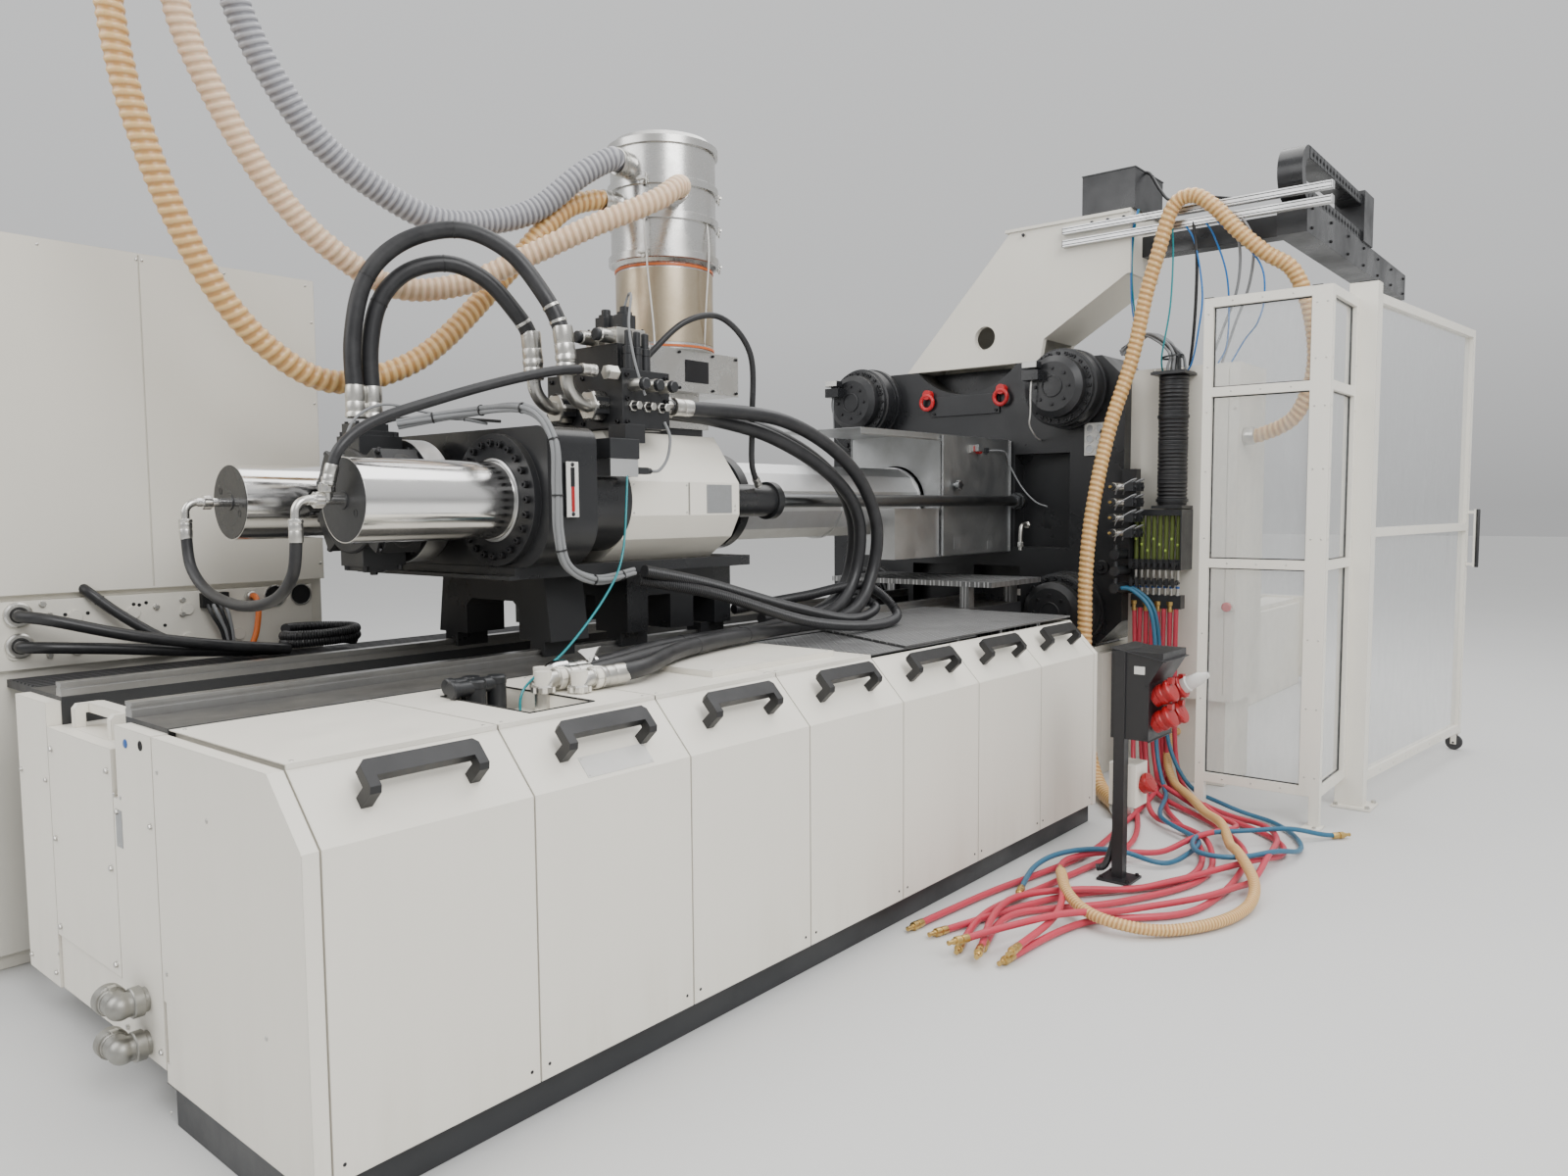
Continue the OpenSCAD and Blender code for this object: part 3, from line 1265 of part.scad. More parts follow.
// Points of a smooth line through the given points
function knot(p, i) = p[min(max(i, 0), len(p) - 1)];
function blend4(a, b, c, d, t) = 0.5 * (
    2 * b + (c - a) * t + (2 * a - 5 * b + 4 * c - d) * t * t + (3 * b - a - 3 * c + d) * t * t * t
);
function on_line(p, u) = let (n = len(p) - 1, s = min(u, 0.99999) * n, i = floor(s))
    blend4(knot(p, i - 1), knot(p, i), knot(p, i + 1), knot(p, i + 2), s - i);
function unit(v) = v / norm(v);

// A round line of radius r with n rings, ref is any direction that it never follows
module hose(p, r, n, ref = [0, 1, 0], sides = 8) {
    c = [for (k = [0 : n]) let (q = on_line(p, k / n)) [q[0], q[1], max(q[2], r + 1)]];
    pts = [
        for (k = [0 : n])
        let (t = unit(c[min(k + 1, n)] - c[max(k - 1, 0)]), a = unit(cross(ref, t)), b = cross(t, a))
        for (j = [0 : sides - 1])
        c[k] + r * (cos(j * 360 / sides) * a + sin(j * 360 / sides) * b)
    ];
    polyhedron(points = pts, faces = concat(
        [[for (j = [0 : sides - 1]) j]],
        [[for (j = [sides - 1 : -1 : 0]) n * sides + j]],
        [for (k = [0 : n - 1]) for (j = [0 : sides - 1])
            [k * sides + j, (k + 1) * sides + j, (k + 1) * sides + (j + 1) % sides]],
        [for (k = [0 : n - 1]) for (j = [0 : sides - 1])
            [k * sides + j, (k + 1) * sides + (j + 1) % sides, k * sides + (j + 1) % sides]]
    ));
}

// route points, chosen by hand
outer_pts = [
    [946, 0, 2088], [942, 0, 2300], [985, -30, 2520], [1100, -100, 2660], [1260, -215, 2712],
    [1400, -320, 2640], [1495, -410, 2480], [1522, -452, 2355]
];
inner_pts = [
    [1012, 0, 2088], [1010, 0, 2280], [1045, -20, 2450], [1130, -70, 2560], [1260, -140, 2600],
    [1380, -200, 2550], [1480, -240, 2440], [1522, -256, 2355]
];
loom_pts = [
    [1020, -150, 1990], [1180, -300, 2030], [1250, -590, 2035], [1268, -housing_w - 29, 1930], [1274, -housing_w - 38, 1750],
    [1278, -housing_w - 38, 1600], [1310, -housing_w - 46, 1480], [1450, -housing_w - 37, 1425], [1700, -640, 1440]
];
cross_pts = [
    [504, 407, 1600], [504, 375, 1480], [508, 240, 1395], [512, 0, 1362], [508, -240, 1395], [504, -375, 1480],
    [504, -407, 1600]
];
pressure_pts = [
    [610, -430, 1790], [640, -440, 1880], [760, -440, 1970], [1000, -460, 2060], [1250, -500, 2140],
    [1450, -540, 2190], [1565, -560, 2200]
];

module unit_hoses() color("#232325") {
    hose(outer_pts, 31, 8);
    hose(inner_pts, 31, 8);
    // ferrules on the motor ports
    for (x = [946, 1012]) {
        translate([x, 0, motor_top + 0.3]) cylinder(h = 2089 - motor_top, r = 36);
    }
    hose(loom_pts, 20, 12, [0.3, 0.6, -0.7]);
}

module cross_hose() color("#232325") {
    hose(cross_pts, 20, 9, [1, 0, 0]);
    // bent tubes from the plunger ends down to the hose
    both() {
        translate([port_x, plunger_y, 1589]) cylinder(h = axis_z - 1589 - 40, r = 14);
        translate([port_x, plunger_y, 1600]) cylinder(h = 50, r = 22);
        translate([port_x + 40, plunger_y, axis_z - 40]) rotate([90, 0, 0]) rotate([0, 0, 90]) rotate_extrude(angle = 90) {
            translate([40, 0]) circle(r = 14);
        }
    }
}

module pressure_hose() color("#232325") {
    hose(pressure_pts, 18, 9);
    rod([1564, -560, 2200], 22, drive_x - 25 - 1564);
}

// supply hoses from the manifold down to the deck, k counts them
function supply_pts(k) = let (o = [0, 60, 30][k], e = port_at[k]) [
    [drive_x + 345, -540 + k * 100, 2095], [2650 - o, -610 + k * 60, 2070 - o], [3080 - o, -650 + k * 50, 1890 - o],
    [3300 - o, -660 + k * 60, 1620], [3290 - o, -640 + k * 60, 1340], [3080 - o, -650 + k * 60, 1165 + k * 14],
    [2500, -700 + k * 30, 1152], [1800, (e[1] - 640) / 2 + k * 20 - 30, port_z + 22], [e[0] + 300, e[1] + 10, port_z + 8],
    [e[0] + 130, e[1], port_z]
];
conduit_a = [
    [1760, -640, 1440], [2100, -660, 1370], [2600, -680, 1240], [3050, -690, 1150], [3330, -640, 1180],
    [3250, -560, 1230], [2900, -560, 1180], [2500, -600, 1190]
];
conduit_b = [
    [1760, -600, 1405], [2100, -700, 1330], [2600, -790, 1180], [3100, -790, 1122], [3400, -720, 1150],
    [3300, -590, 1290], [2900, -520, 1260], [2450, -480, 1230]
];

module supply_hoses() color("#232325") {
    for (k = [0 : 2]) {
        hose(supply_pts(k), 31, 11, [0.1, 1, 0.1]);
        // ferrules on the valve block and on the deck elbow
        rod([drive_x + 315.3, -540 + k * 100, 2095], 34, 60);
        rod([port_at[k][0] + 90.3, port_at[k][1], port_z], 34, 70);
    }
    hose(conduit_a, 24, 9, [0.1, 0.2, 1]);
    hose(conduit_b, 24, 9, [0.1, 0.2, 1]);
}

// conveying hoses from the hopper to their ceiling fittings
material_pts = [
    [[1990, 100, 2975], [1730, 130, 2690], [1420, 170, 2360], [1200, 200, 2220], [970, 230, 2170], [760, 250, 2270],
     [580, 265, 2470], [430, 275, 2770], [330, 285, 3100], [290, 290, 3400], [290, 290, 3540]],
    [[2210, -395, 3040], [2080, -400, 2955], [1850, -285, 2830], [1650, -110, 2700], [1450, 40, 2580],
     [1200, 130, 2540], [940, 160, 2660], [750, 180, 2840], [600, 190, 3060], [480, 200, 3320], [450, 200, 3540]],
    [[2020, 0, 3120], [1850, 80, 2960], [1650, 130, 2875], [1400, 160, 2840], [1160, 190, 2920], [950, 210, 3050],
     [780, 220, 3250], [680, 230, 3450], [660, 230, 3580]]
];

module material_hoses() color("#c59a5c") {
    for (k = [0 : 2]) {
        s = hopper_stubs[k];
        r = s[2] - 4;
        a = hopper_r + 70.3;
        b = a + 45;
        e = material_pts[k][len(material_pts[k]) - 1];
        // collar on the stub, with the hose from inside it
        translate([hopper_x + a * cos(s[0]), a * sin(s[0]), s[1]]) rotate([0, 90, s[0]]) cylinder(h = 75, r = r + 3);
        hose(concat([[hopper_x + b * cos(s[0]), b * sin(s[0]), s[1]]], material_pts[k]), r, 15, [0, 1, 0]);
        // ceiling fitting
        translate(e - [0, 0, 1]) cylinder(h = 80, r = r + 6);
    }
}

// water hoses from the flowmeters along the floor
water_pts = [
    [[5250, -1200, 1069], [5235, -1215, 700], [5190, -1230, 250], [5040, -1300, 50], [4700, -1450, 17],
     [4000, -1700, 17], [3300, -1660, 17], [2760, -1600, 17], [2380, -1690, 17]],
    [[5250, -1272, 1069], [5235, -1280, 600], [5150, -1330, 150], [4900, -1500, 40], [4530, -1960, 17],
     [4080, -2220, 17], [3310, -2260, 17], [2890, -1960, 17], [2390, -1890, 17]],
    [[5250, -1344, 1069], [5235, -1350, 600], [5180, -1400, 150], [4950, -1520, 40], [4670, -1640, 17],
     [4100, -2010, 17], [3600, -2080, 17], [3100, -1760, 17], [2460, -1560, 17]],
    [[5250, -1416, 1069], [5235, -1420, 600], [5160, -1440, 150], [4850, -1480, 40], [4300, -1540, 17],
     [3700, -1600, 17], [3000, -1500, 17], [2700, -1470, 17], [2460, -1450, 17]]
];

module water_hoses() color("#a83a48") {
    for (p = water_pts) {
        hose(p, 14, 14, [0.3, 0.4, 1]);
        // screwed coupling on the free end
        rod(p[8] - [70, 0, 0], 16, 71);
    }
}

module placed() {
    translate([-(x_lo + x_hi) / 2, -(y_lo + y_hi) / 2, 0]) children();
}

placed() bed_frame();
placed() bed_rails();
placed() end_cover();
placed() top_deck();
placed() tread_plates();
placed() walkway();
placed() door(1);  // door_1
placed() door(2);  // door_2
placed() door(3);  // door_3
placed() door(4);  // door_4
placed() door(5);  // door_5
placed() door(6);  // door_6
placed() door(7);  // door_7
placed() handle(1);  // handle_1
placed() handle(2);  // handle_2
placed() handle(3);  // handle_3
placed() handle(4);  // handle_4
placed() handle(5);  // handle_5
placed() handle(6);  // handle_6
placed() handle(7);  // handle_7
placed() carriage_base();
placed() cylinder_housing();
placed() drive_motor();
placed() drive_cover();
placed() valve_manifold();
placed() bell_casting();
placed() barrel();
placed() barrel_jacket();
placed() hopper();
placed() plungers();
placed() screw();
placed() carriage_rods();
placed() purge_guard();
placed() purge_door();
placed() fixed_platen();
placed() lock_cylinders();
placed() lifting_eyes();
placed() tie_bars();
placed() clamp_bed();
placed() moving_platen();
placed() ejector();
placed() robot_console();
placed() robot_beam();
placed() operator_cabinet();
placed() emergency_stop();
placed() cable_conduit();
placed() water_battery();
placed() guard_frame();
placed() guard_glazing();
placed() gate_frame();
placed() gate_glazing();
placed() gate_wheel();
placed() socket_post();
placed() far_cabinet();
placed() unit_hoses();
placed() cross_hose();
placed() pressure_hose();
placed() supply_hoses();
placed() material_hoses();
placed() water_hoses();
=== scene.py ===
"""Looks of a large two-platen injection moulding machine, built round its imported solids.

Shapes are worked out in machine millimetres (X along the machine from the injection end, Y = 0 on its
axis, Z up from the floor) and moved into the frame's metres when their mesh is made.
"""
import math
import bpy
import numpy as np
from mathutils import Matrix


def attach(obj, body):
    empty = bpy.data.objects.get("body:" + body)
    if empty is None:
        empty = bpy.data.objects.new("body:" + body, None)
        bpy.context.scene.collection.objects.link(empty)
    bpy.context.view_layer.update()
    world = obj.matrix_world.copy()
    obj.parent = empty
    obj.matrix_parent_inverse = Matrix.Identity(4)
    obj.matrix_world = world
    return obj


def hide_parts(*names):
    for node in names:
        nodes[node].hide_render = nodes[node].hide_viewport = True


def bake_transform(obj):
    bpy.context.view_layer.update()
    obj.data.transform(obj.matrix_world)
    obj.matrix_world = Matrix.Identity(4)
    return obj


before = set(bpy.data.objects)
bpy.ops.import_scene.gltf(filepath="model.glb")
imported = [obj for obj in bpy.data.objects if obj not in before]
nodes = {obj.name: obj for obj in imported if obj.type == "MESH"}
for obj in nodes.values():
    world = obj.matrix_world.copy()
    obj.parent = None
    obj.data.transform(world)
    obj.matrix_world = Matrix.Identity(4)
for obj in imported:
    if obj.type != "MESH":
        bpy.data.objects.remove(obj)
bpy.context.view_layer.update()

ORIGIN = np.array([4868.5, -573.4554812, 0.0])
AHEAD, BACK, NEAR, UP = (1, 0, 0), (-1, 0, 0), (0, -1, 0), (0, 0, 1)
AXIS_Z = 1715.0  # height of the machine's axis
PLUNGER_Y = 407  # each plunger's distance from the axis
COVER_Y = -1388  # plane at the foot of the side covers
PIPE_Y = COVER_Y + 945  # the two cooling pipes at the end face
PIPE_HEIGHTS = (178, 305)
BEAM_Z = 3190  # foot of the robot's beam
CONSOLE_Z = 2600  # foot of the console on the platen
HOPPER_FOOT = 2050.0
SHARP_ANGLE = 35  # degrees between faces from which shading breaks
BEVEL_ANGLE = 40  # degrees from which an edge is rounded


def metres(points):
    """Machine millimetres into frame metres: take the origin off and divide by a thousand."""
    return (np.asarray(points, float) - ORIGIN) / 1000.0


def cos_sin(degrees):
    return math.cos(math.radians(degrees)), math.sin(math.radians(degrees))


# ---------------------------------------------------------------- camera
def set_camera():
    """Pinhole camera at the photograph's standpoint: forward, right and up from yaw, pitch and roll."""
    yaw, pitch, roll = (math.radians(a) for a in (39.6046, -4.1938, -0.3937))
    ahead = np.array([math.cos(pitch) * math.cos(yaw), math.cos(pitch) * math.sin(yaw), math.sin(pitch)])
    side = np.cross(ahead, [0, 0, 1])
    side /= np.linalg.norm(side)
    up = np.cross(side, ahead)
    right = math.cos(roll) * side + math.sin(roll) * up
    top = -math.sin(roll) * side + math.cos(roll) * up
    data = bpy.data.cameras.new("camera")
    data.lens, data.sensor_width, data.clip_end = 25.072, 36.0, 200
    cam = bpy.data.objects.new("camera", data)
    bpy.context.scene.collection.objects.link(cam)
    turn = Matrix(np.column_stack([right, top, -ahead]).tolist()).to_4x4()
    cam.matrix_world = Matrix.Translation((-6.0241, -3.1824, 1.680)) @ turn
    bpy.context.scene.camera = cam


set_camera()


# ---------------------------------------------------------------- shapes
class Shell:
    """Closed surfaces gathered into one piece; each is a grid of points, a turned profile or a prism."""

    def __init__(self):
        self.points, self.faces, self.rib, self.count = [], [], [], 0

    def add(self, pts, faces, rib=None):
        pts = np.asarray(pts, float).reshape(-1, 3)
        if volume_of(pts, faces) < 0:
            faces = [f[::-1] for f in faces]
        self.points.append(pts)
        self.faces += [[i + self.count for i in f] for f in faces]
        self.rib.append(np.zeros(len(pts)) if rib is None else np.asarray(rib, float).ravel())
        self.count += len(pts)
        return self

    def skin(self, grid, rib=None):
        """Rings of points joined by quads, the first and last ring closed by flat caps."""
        grid = np.asarray(grid, float)
        m, n = grid.shape[:2]
        k, j = np.meshgrid(np.arange(m - 1), np.arange(n), indexing="ij")
        a, b = k * n + j, k * n + (j + 1) % n
        quads = np.stack([a, b, b + n, a + n], -1).reshape(-1, 4).tolist()
        return self.add(grid, quads + [list(range(n))[::-1], list(range((m - 1) * n, m * n))], rib)

    def turned(self, start, along, profile, sides=32):
        """A profile of (radius, distance) carried round the line from start in the direction along."""
        along, spoke = spokes(along, sides)
        grid = [np.asarray(start) + d * along + max(r, 0.02) * spoke for r, d in profile]
        return self.skin(grid)

    def rod(self, start, along, radius, length, sides=24):
        return self.turned(start, along, [(radius, 0), (radius, length)], sides)

    def tube(self, path, radius, sides=14, wave=None, pitch=0, depth=0):
        """A circle of the given radius carried along a path without twisting. With a pitch, the radius
        swells by depth in a raised cosine once per pitch, or round a helix when wave is 'screw'."""
        path = np.asarray(path, float)
        if pitch:
            path = evenly(path, pitch / 6)
        frames, run = carried(path)
        turn = np.arange(sides) * 2 * np.pi / sides
        rise = np.zeros((len(path), sides))
        if pitch:
            phase = run[:, None] / pitch * 2 * np.pi + turn[None, :] * (wave == "screw")
            rise = 0.5 + 0.5 * np.cos(phase)
        reach = radius + depth * (rise - 1)
        grid = path[:, None] + reach[..., None] * (np.cos(turn)[None, :, None] * frames[:, None,
            0] + np.sin(turn)[None, :, None] * frames[:, None, 1])
        return self.skin(grid, rise if pitch else None)

    def block(self, low, high):
        """A box between two corners."""
        (a, b, c), (d, e, f) = low, high
        ring = [[a, b], [d, b], [d, e], [a, e]]
        return self.skin([[(x, y, c) for x, y in ring], [(x, y, f) for x, y in ring]])

    def prism(self, outline, start, end, axis=0):
        """An outline in the two other coordinates drawn from start to end along an axis."""
        outline = np.asarray(outline, float)
        return self.skin([np.insert(outline, axis, d, 1) for d in (start, end)])

    def put(self, name, finish, body, bevel=0, slot=None):
        """Makes the piece in metres, with its finish, an optional rounded edge, riding on its body."""
        mesh = bpy.data.meshes.new(name)
        mesh.from_pydata(metres(np.concatenate(self.points)).tolist(), [], self.faces)
        mesh.polygons.foreach_set("use_smooth", np.ones(len(mesh.polygons), bool))
        mesh.set_sharp_from_angle(angle=math.radians(SHARP_ANGLE))
        rib = np.concatenate(self.rib)
        if rib.any():
            mesh.attributes.new("rib", "FLOAT", "POINT").data.foreach_set("value", rib.astype(np.float32))
        mesh.materials.append(finish)
        piece = bpy.data.objects.new(name, mesh)
        bpy.context.scene.collection.objects.link(piece)
        if bevel:
            edge = piece.modifiers.new("edge", "BEVEL")
            edge.width, edge.segments, edge.limit_method = bevel / 1000, 2, "ANGLE"
            edge.angle_limit, edge.harden_normals = math.radians(BEVEL_ANGLE), True
        if body:
            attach(piece, body)
        return piece


def shells(count):
    return [Shell() for _ in range(count)]


def volume_of(pts, faces):
    """Signed volume: a sixth of the sum of corner products over each face's fan of triangles."""
    size = {len(f) for f in faces}
    total = 0.0
    for n in size:
        f = np.array([g for g in faces if len(g) == n])
        for i in range(1, n - 1):
            total += np.einsum("ij,ij->i", pts[f[:, 0]], np.cross(pts[f[:, i]], pts[f[:, i + 1]])).sum()
    return total / 6


def across(direction):
    """Two unit directions square to a direction and to each other."""
    d = np.asarray(direction, float) / np.linalg.norm(direction)
    side = np.cross(d, [0, 0, 1] if abs(d[2]) < 0.9 else [1, 0, 0])
    side /= np.linalg.norm(side)
    return side, np.cross(d, side)


def spokes(along, sides):
    """The unit direction of a line, and as many unit spokes evenly round it."""
    along = np.asarray(along, float) / np.linalg.norm(along)
    side, up = across(along)
    turn = np.arange(sides) * 2 * np.pi / sides
    return along, np.cos(turn)[:, None] * side + np.sin(turn)[:, None] * up


def carried(path):
    """A pair of square directions at each point, each pair the last one with its tangent part removed."""
    step = np.gradient(path, axis=0)
    tangent = step / np.linalg.norm(step, axis=1)[:, None]
    side = across(tangent[0])[0]
    pairs = []
    for t in tangent:
        side = side - t * (side @ t)
        side /= np.linalg.norm(side)
        pairs.append((side, np.cross(t, side)))
    run = run_along(path)
    return np.array(pairs), run


def run_along(path):
    """Distance along a path at each of its points."""
    return np.concatenate([[0], np.cumsum(np.linalg.norm(np.diff(path, axis=0), axis=1))])


def evenly(path, step):
    """The same path with its points an even step apart."""
    path = np.asarray(path, float)
    run = run_along(path)
    at = np.linspace(0, run[-1], max(int(run[-1] / step), 4) + 1)
    return np.stack([np.interp(at, run, path[:, i]) for i in range(3)], 1)


def flowing(points, per=8, floor=None):
    """A smooth line through points: the cubic that takes each point's slope from its two neighbours."""
    p = np.asarray(points, float)
    p = np.concatenate([p[:1], p, p[-1:]])
    t = (np.arange((len(p) - 3) * per + 1) / per)
    i = np.minimum(t.astype(int), len(p) - 4)
    u = (t - i)[:, None]
    a, b, c, d = p[i], p[i + 1], p[i + 2], p[i + 3]
    square, cube = 2 * a - 5 * b + 4 * c - d, 3 * b - a - 3 * c + d
    line = 0.5 * (2 * b + (c - a) * u + square * u ** 2 + cube * u ** 3)
    if floor is not None:
        line[:, 2] = np.maximum(line[:, 2], floor)
    return line


def length_of(path):
    """Length in metres of a path in millimetres."""
    return float(np.linalg.norm(np.diff(path, axis=0), axis=1).sum()) / 1000


def ring_of(centre, radius, count, start=0.0):
    """Points on a circle in the Y and Z plane."""
    a = np.radians(start) + np.arange(count) * 2 * np.pi / count
    return np.asarray(centre) + np.stack([0 * a, radius * np.cos(a), radius * np.sin(a)], 1)


def free_cord(piece, points, cap):
    """Works out the length of a hose's path through its points and keeps it nowhere; the hose's piece and the
    piece at its far end are not used.
    """
    length_of(points * 1000)


def bends(piece):
    """Bakes a piece's placement into its mesh; it does not let the piece bend."""
    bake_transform(piece)


def gripping(path, place, radius, width):
    """A short sleeve profile that sits round a path at a share of its length: (start, direction, length)."""
    run = run_along(path)
    at = run[-1] * place
    p = np.array([np.interp(at, run, path[:, i]) for i in range(3)])
    q = np.array([np.interp(at + 4, run, path[:, i]) for i in range(3)])
    d = (q - p) / max(np.linalg.norm(q - p), 1e-6)
    return p - d * width / 2, d, [(radius * 0.97, 0), (radius, width * 0.1), (radius, width * 0.9),
        (radius * 0.97, width)]


# ---------------------------------------------------------------- finishes
class Recipe:
    """A material under construction: its shader, its Object coordinates, and short names for nodes."""

    def __init__(self, name, rough=0.5, metal=0.0):
        self.made = bpy.data.materials.new(name)
        self.made.use_nodes = True
        self.tree = self.made.node_tree
        self.shader = self.tree.nodes["Principled BSDF"]
        self.shader.inputs["Roughness"].default_value = rough
        self.shader.inputs["Metallic"].default_value = metal
        self.place = self.tree.nodes.new("ShaderNodeTexCoord").outputs["Object"]
        self.surface = None

    def node(self, kind, ins=(), **settings):
        n = self.tree.nodes.new("ShaderNode" + kind)
        for k, v in settings.items():
            setattr(n, k, v)
        for k, v in dict(ins).items():
            self.feed(n.inputs[k], v)
        return n

    def feed(self, socket, value):
        if isinstance(value, bpy.types.NodeSocket):
            self.tree.links.new(value, socket)
        elif socket.type == "RGBA":
            socket.default_value = (*value, 1.0)[:4]
        else:
            socket.default_value = value

    def sum(self, kind, a, b=0.0, c=0.0):
        """One Math node, such as MULTIPLY or GREATER_THAN, clamped nowhere."""
        return self.node("Math", {0: a, 1: b, 2: c}, operation=kind).outputs[0]

    def stretched(self, scale):
        return self.node("Mapping", {"Vector": self.place, "Scale": scale}).outputs[0]

    def noise(self, scale, detail=3.0, rough=0.55, stretch=None):
        source = self.stretched(stretch) if stretch else self.place
        return self.node("TexNoise", {"Vector": source, "Scale": scale, "Detail": detail,
            "Roughness": rough}).outputs[0]

    def steps(self, value, *stops):
        """A ramp through (place, grey or colour) stops."""
        ramp = self.node("ValToRGB", {"Fac": value})
        band = ramp.color_ramp
        while len(band.elements) < len(stops):
            band.elements.new(0.5)
        for e, (p, c) in zip(band.elements, stops):
            e.position, e.color = p, (c, c, c, 1) if np.isscalar(c) else (*c, 1)
        return ramp.outputs[0]

    def blend(self, share, a, b):
        n = self.node("Mix", data_type="RGBA")
        for i, v in ((0, share), (6, a), (7, b)):
            self.feed(n.inputs[i], v)
        return n.outputs[2]

    def worn(self, radius=0.003, low=0.02, high=0.12):
        """1 on outer and inner edges, where the rounded normal leaves the face's own."""
        round_normal = self.node("Bevel", {"Radius": radius}, samples=2).outputs[0]
        if self.surface is None:
            self.surface = round_normal
        flat = self.node("NewGeometry").outputs["Normal"]
        dot = self.node("VectorMath", {0: round_normal, 1: flat}, operation="DOT_PRODUCT").outputs["Value"]
        return self.steps(self.sum("SUBTRACT", 1.0, dot), (low, 0.0), (high, 1.0))

    def raised(self, height, strength, distance):
        n = self.node("Bump", {"Height": height, "Strength": strength, "Distance": distance})
        if self.surface is not None:
            self.feed(n.inputs["Normal"], self.surface)
        self.surface = n.outputs[0]

    def parts(self):
        n = self.node("SeparateXYZ", {0: self.place})
        return n.outputs[0], n.outputs[1], n.outputs[2]

    def done(self, colour, rough=None):
        self.feed(self.shader.inputs["Base Color"], colour)
        if rough is not None:
            self.feed(self.shader.inputs["Roughness"], rough)
        if self.surface is not None:
            self.feed(self.shader.inputs["Normal"], self.surface)
        return self.made


def powder_coat(name, tone, rough=0.42, dirt=0.5, peel=0.05):
    """Sheet in satin powder coat: faint cloudy tone, orange peel, dusty streaks, scuffs and dirty edges."""
    m = Recipe(name)
    z = m.parts()[2]
    tone = np.array(tone)
    cloud = m.blend(m.noise(1.7, 5), tone * 0.94, tone)
    streak = m.steps(m.noise(1.6, 5, 0.6, (5, 5, 0.5)), (0.45, 0.0), (0.80, 1.0))
    foot = m.steps(z, (0.05, 1.0), (0.40, 0.0))
    grime = m.sum("MULTIPLY", m.sum("ADD", m.sum("MULTIPLY", foot, 0.5), 0.08), streak)
    colour = m.blend(m.sum("MULTIPLY", grime, dirt), cloud, (0.36, 0.31, 0.24))
    scuff = m.steps(m.noise(9, 8, 0.75, (1, 1, 9)), (0.70, 0.0), (0.74, 1.0))
    colour = m.blend(m.sum("MULTIPLY", scuff, 0.22 * dirt), colour, (0.22, 0.20, 0.18))
    colour = m.blend(m.sum("MULTIPLY", m.worn(0.004), 0.30), colour, tone * 0.45)
    m.raised(m.noise(900, 2), peel, 0.0006)
    m.raised(m.noise(2.4, 2), 0.10, 0.02)
    return m.done(colour, m.steps(m.noise(6, 5), (0.3, rough - 0.07), (0.7, rough + 0.1)))


def cast_paint(name, tone, rough=0.36, skin=55, dust=0.35):
    """Semi-gloss paint over a casting: pebbled skin, dust on what faces up, bright rubbed edges."""
    m = Recipe(name)
    tone = np.array(tone)
    up = m.node("SeparateXYZ", {0: m.node("NewGeometry").outputs["Normal"]}).outputs[2]
    lying = m.sum("MULTIPLY", m.steps(up, (0.35, 0.0), (1.0, 1.0)),
        m.steps(m.noise(5, 6, 0.7), (0.3, 0.25), (0.7, 1.0)))
    colour = m.blend(m.noise(4, 4), tone * 0.8, tone * 1.3)
    colour = m.blend(m.sum("MULTIPLY", lying, dust), colour, (0.16, 0.15, 0.13))
    colour = m.blend(m.sum("MULTIPLY", m.worn(0.0035), 0.22), colour, tone * 6 + 0.03)
    oil = m.steps(m.noise(3, 5), (0.35, rough - 0.12), (0.65, rough + 0.10))
    m.raised(m.noise(skin, 4), 0.16, 0.0022)
    m.raised(m.noise(520, 2), 0.10, 0.0006)
    return m.done(colour, oil)


def bright_metal(name, tone, rough=0.25, lay=None, spots=0.25, edge=0.25):
    """Bare metal: a grain stretched along its machining, hazy blotches and darker handling marks."""
    m = Recipe(name, rough, 1.0)
    tone = np.array(tone)
    grain = m.noise(60, 4, 0.6, lay or (1, 1, 1))
    haze = m.steps(m.noise(7, 6, 0.65), (0.38, 0.0), (0.72, 1.0))
    colour = m.blend(m.sum("MULTIPLY", haze, spots), tone, tone * np.array([0.62, 0.58, 0.50]))
    colour = m.blend(m.sum("MULTIPLY", m.worn(0.002), edge), colour, np.minimum(tone * 1.35, 0.95))
    m.raised(grain, 0.12, 0.0008)
    return m.done(colour, m.sum("MULTIPLY_ADD", grain, 0.16, m.sum("MULTIPLY_ADD", haze, 0.12, rough - 0.08)))


def rubber(name, tone, rough=0.45, weave=0.2, gloss=0.4):
    """Hose rubber: fine cloth-wrap grain, dusty bloom, faint scuffs."""
    m = Recipe(name, rough)
    tone = np.array(tone)
    bloom = m.steps(m.noise(8, 6, 0.7), (0.45, 0.0), (0.75, 1.0))
    colour = m.blend(m.sum("MULTIPLY", bloom, 0.35), tone, tone * 0.6 + 0.06)
    m.raised(m.noise(420, 3), weave, 0.0006)
    m.shader.inputs["Specular IOR Level"].default_value = gloss
    return m.done(colour, m.steps(bloom, (0.0, rough - 0.08), (1.0, rough + 0.15)))


def moulded(name, tone, rough=0.4, grain=0.12):
    """Moulded plastic: spark-eroded grain, slight sheen change, paler edges."""
    m = Recipe(name, rough)
    tone = np.array(tone)
    colour = m.blend(m.sum("MULTIPLY", m.worn(0.0025), 0.3), m.blend(m.noise(9, 4), tone * 0.85, tone * 1.1),
        tone * 1.8 + 0.015)
    m.raised(m.noise(750, 2), grain, 0.0005)
    return m.done(colour, m.steps(m.noise(12, 4), (0.3, rough - 0.06), (0.7, rough + 0.08)))


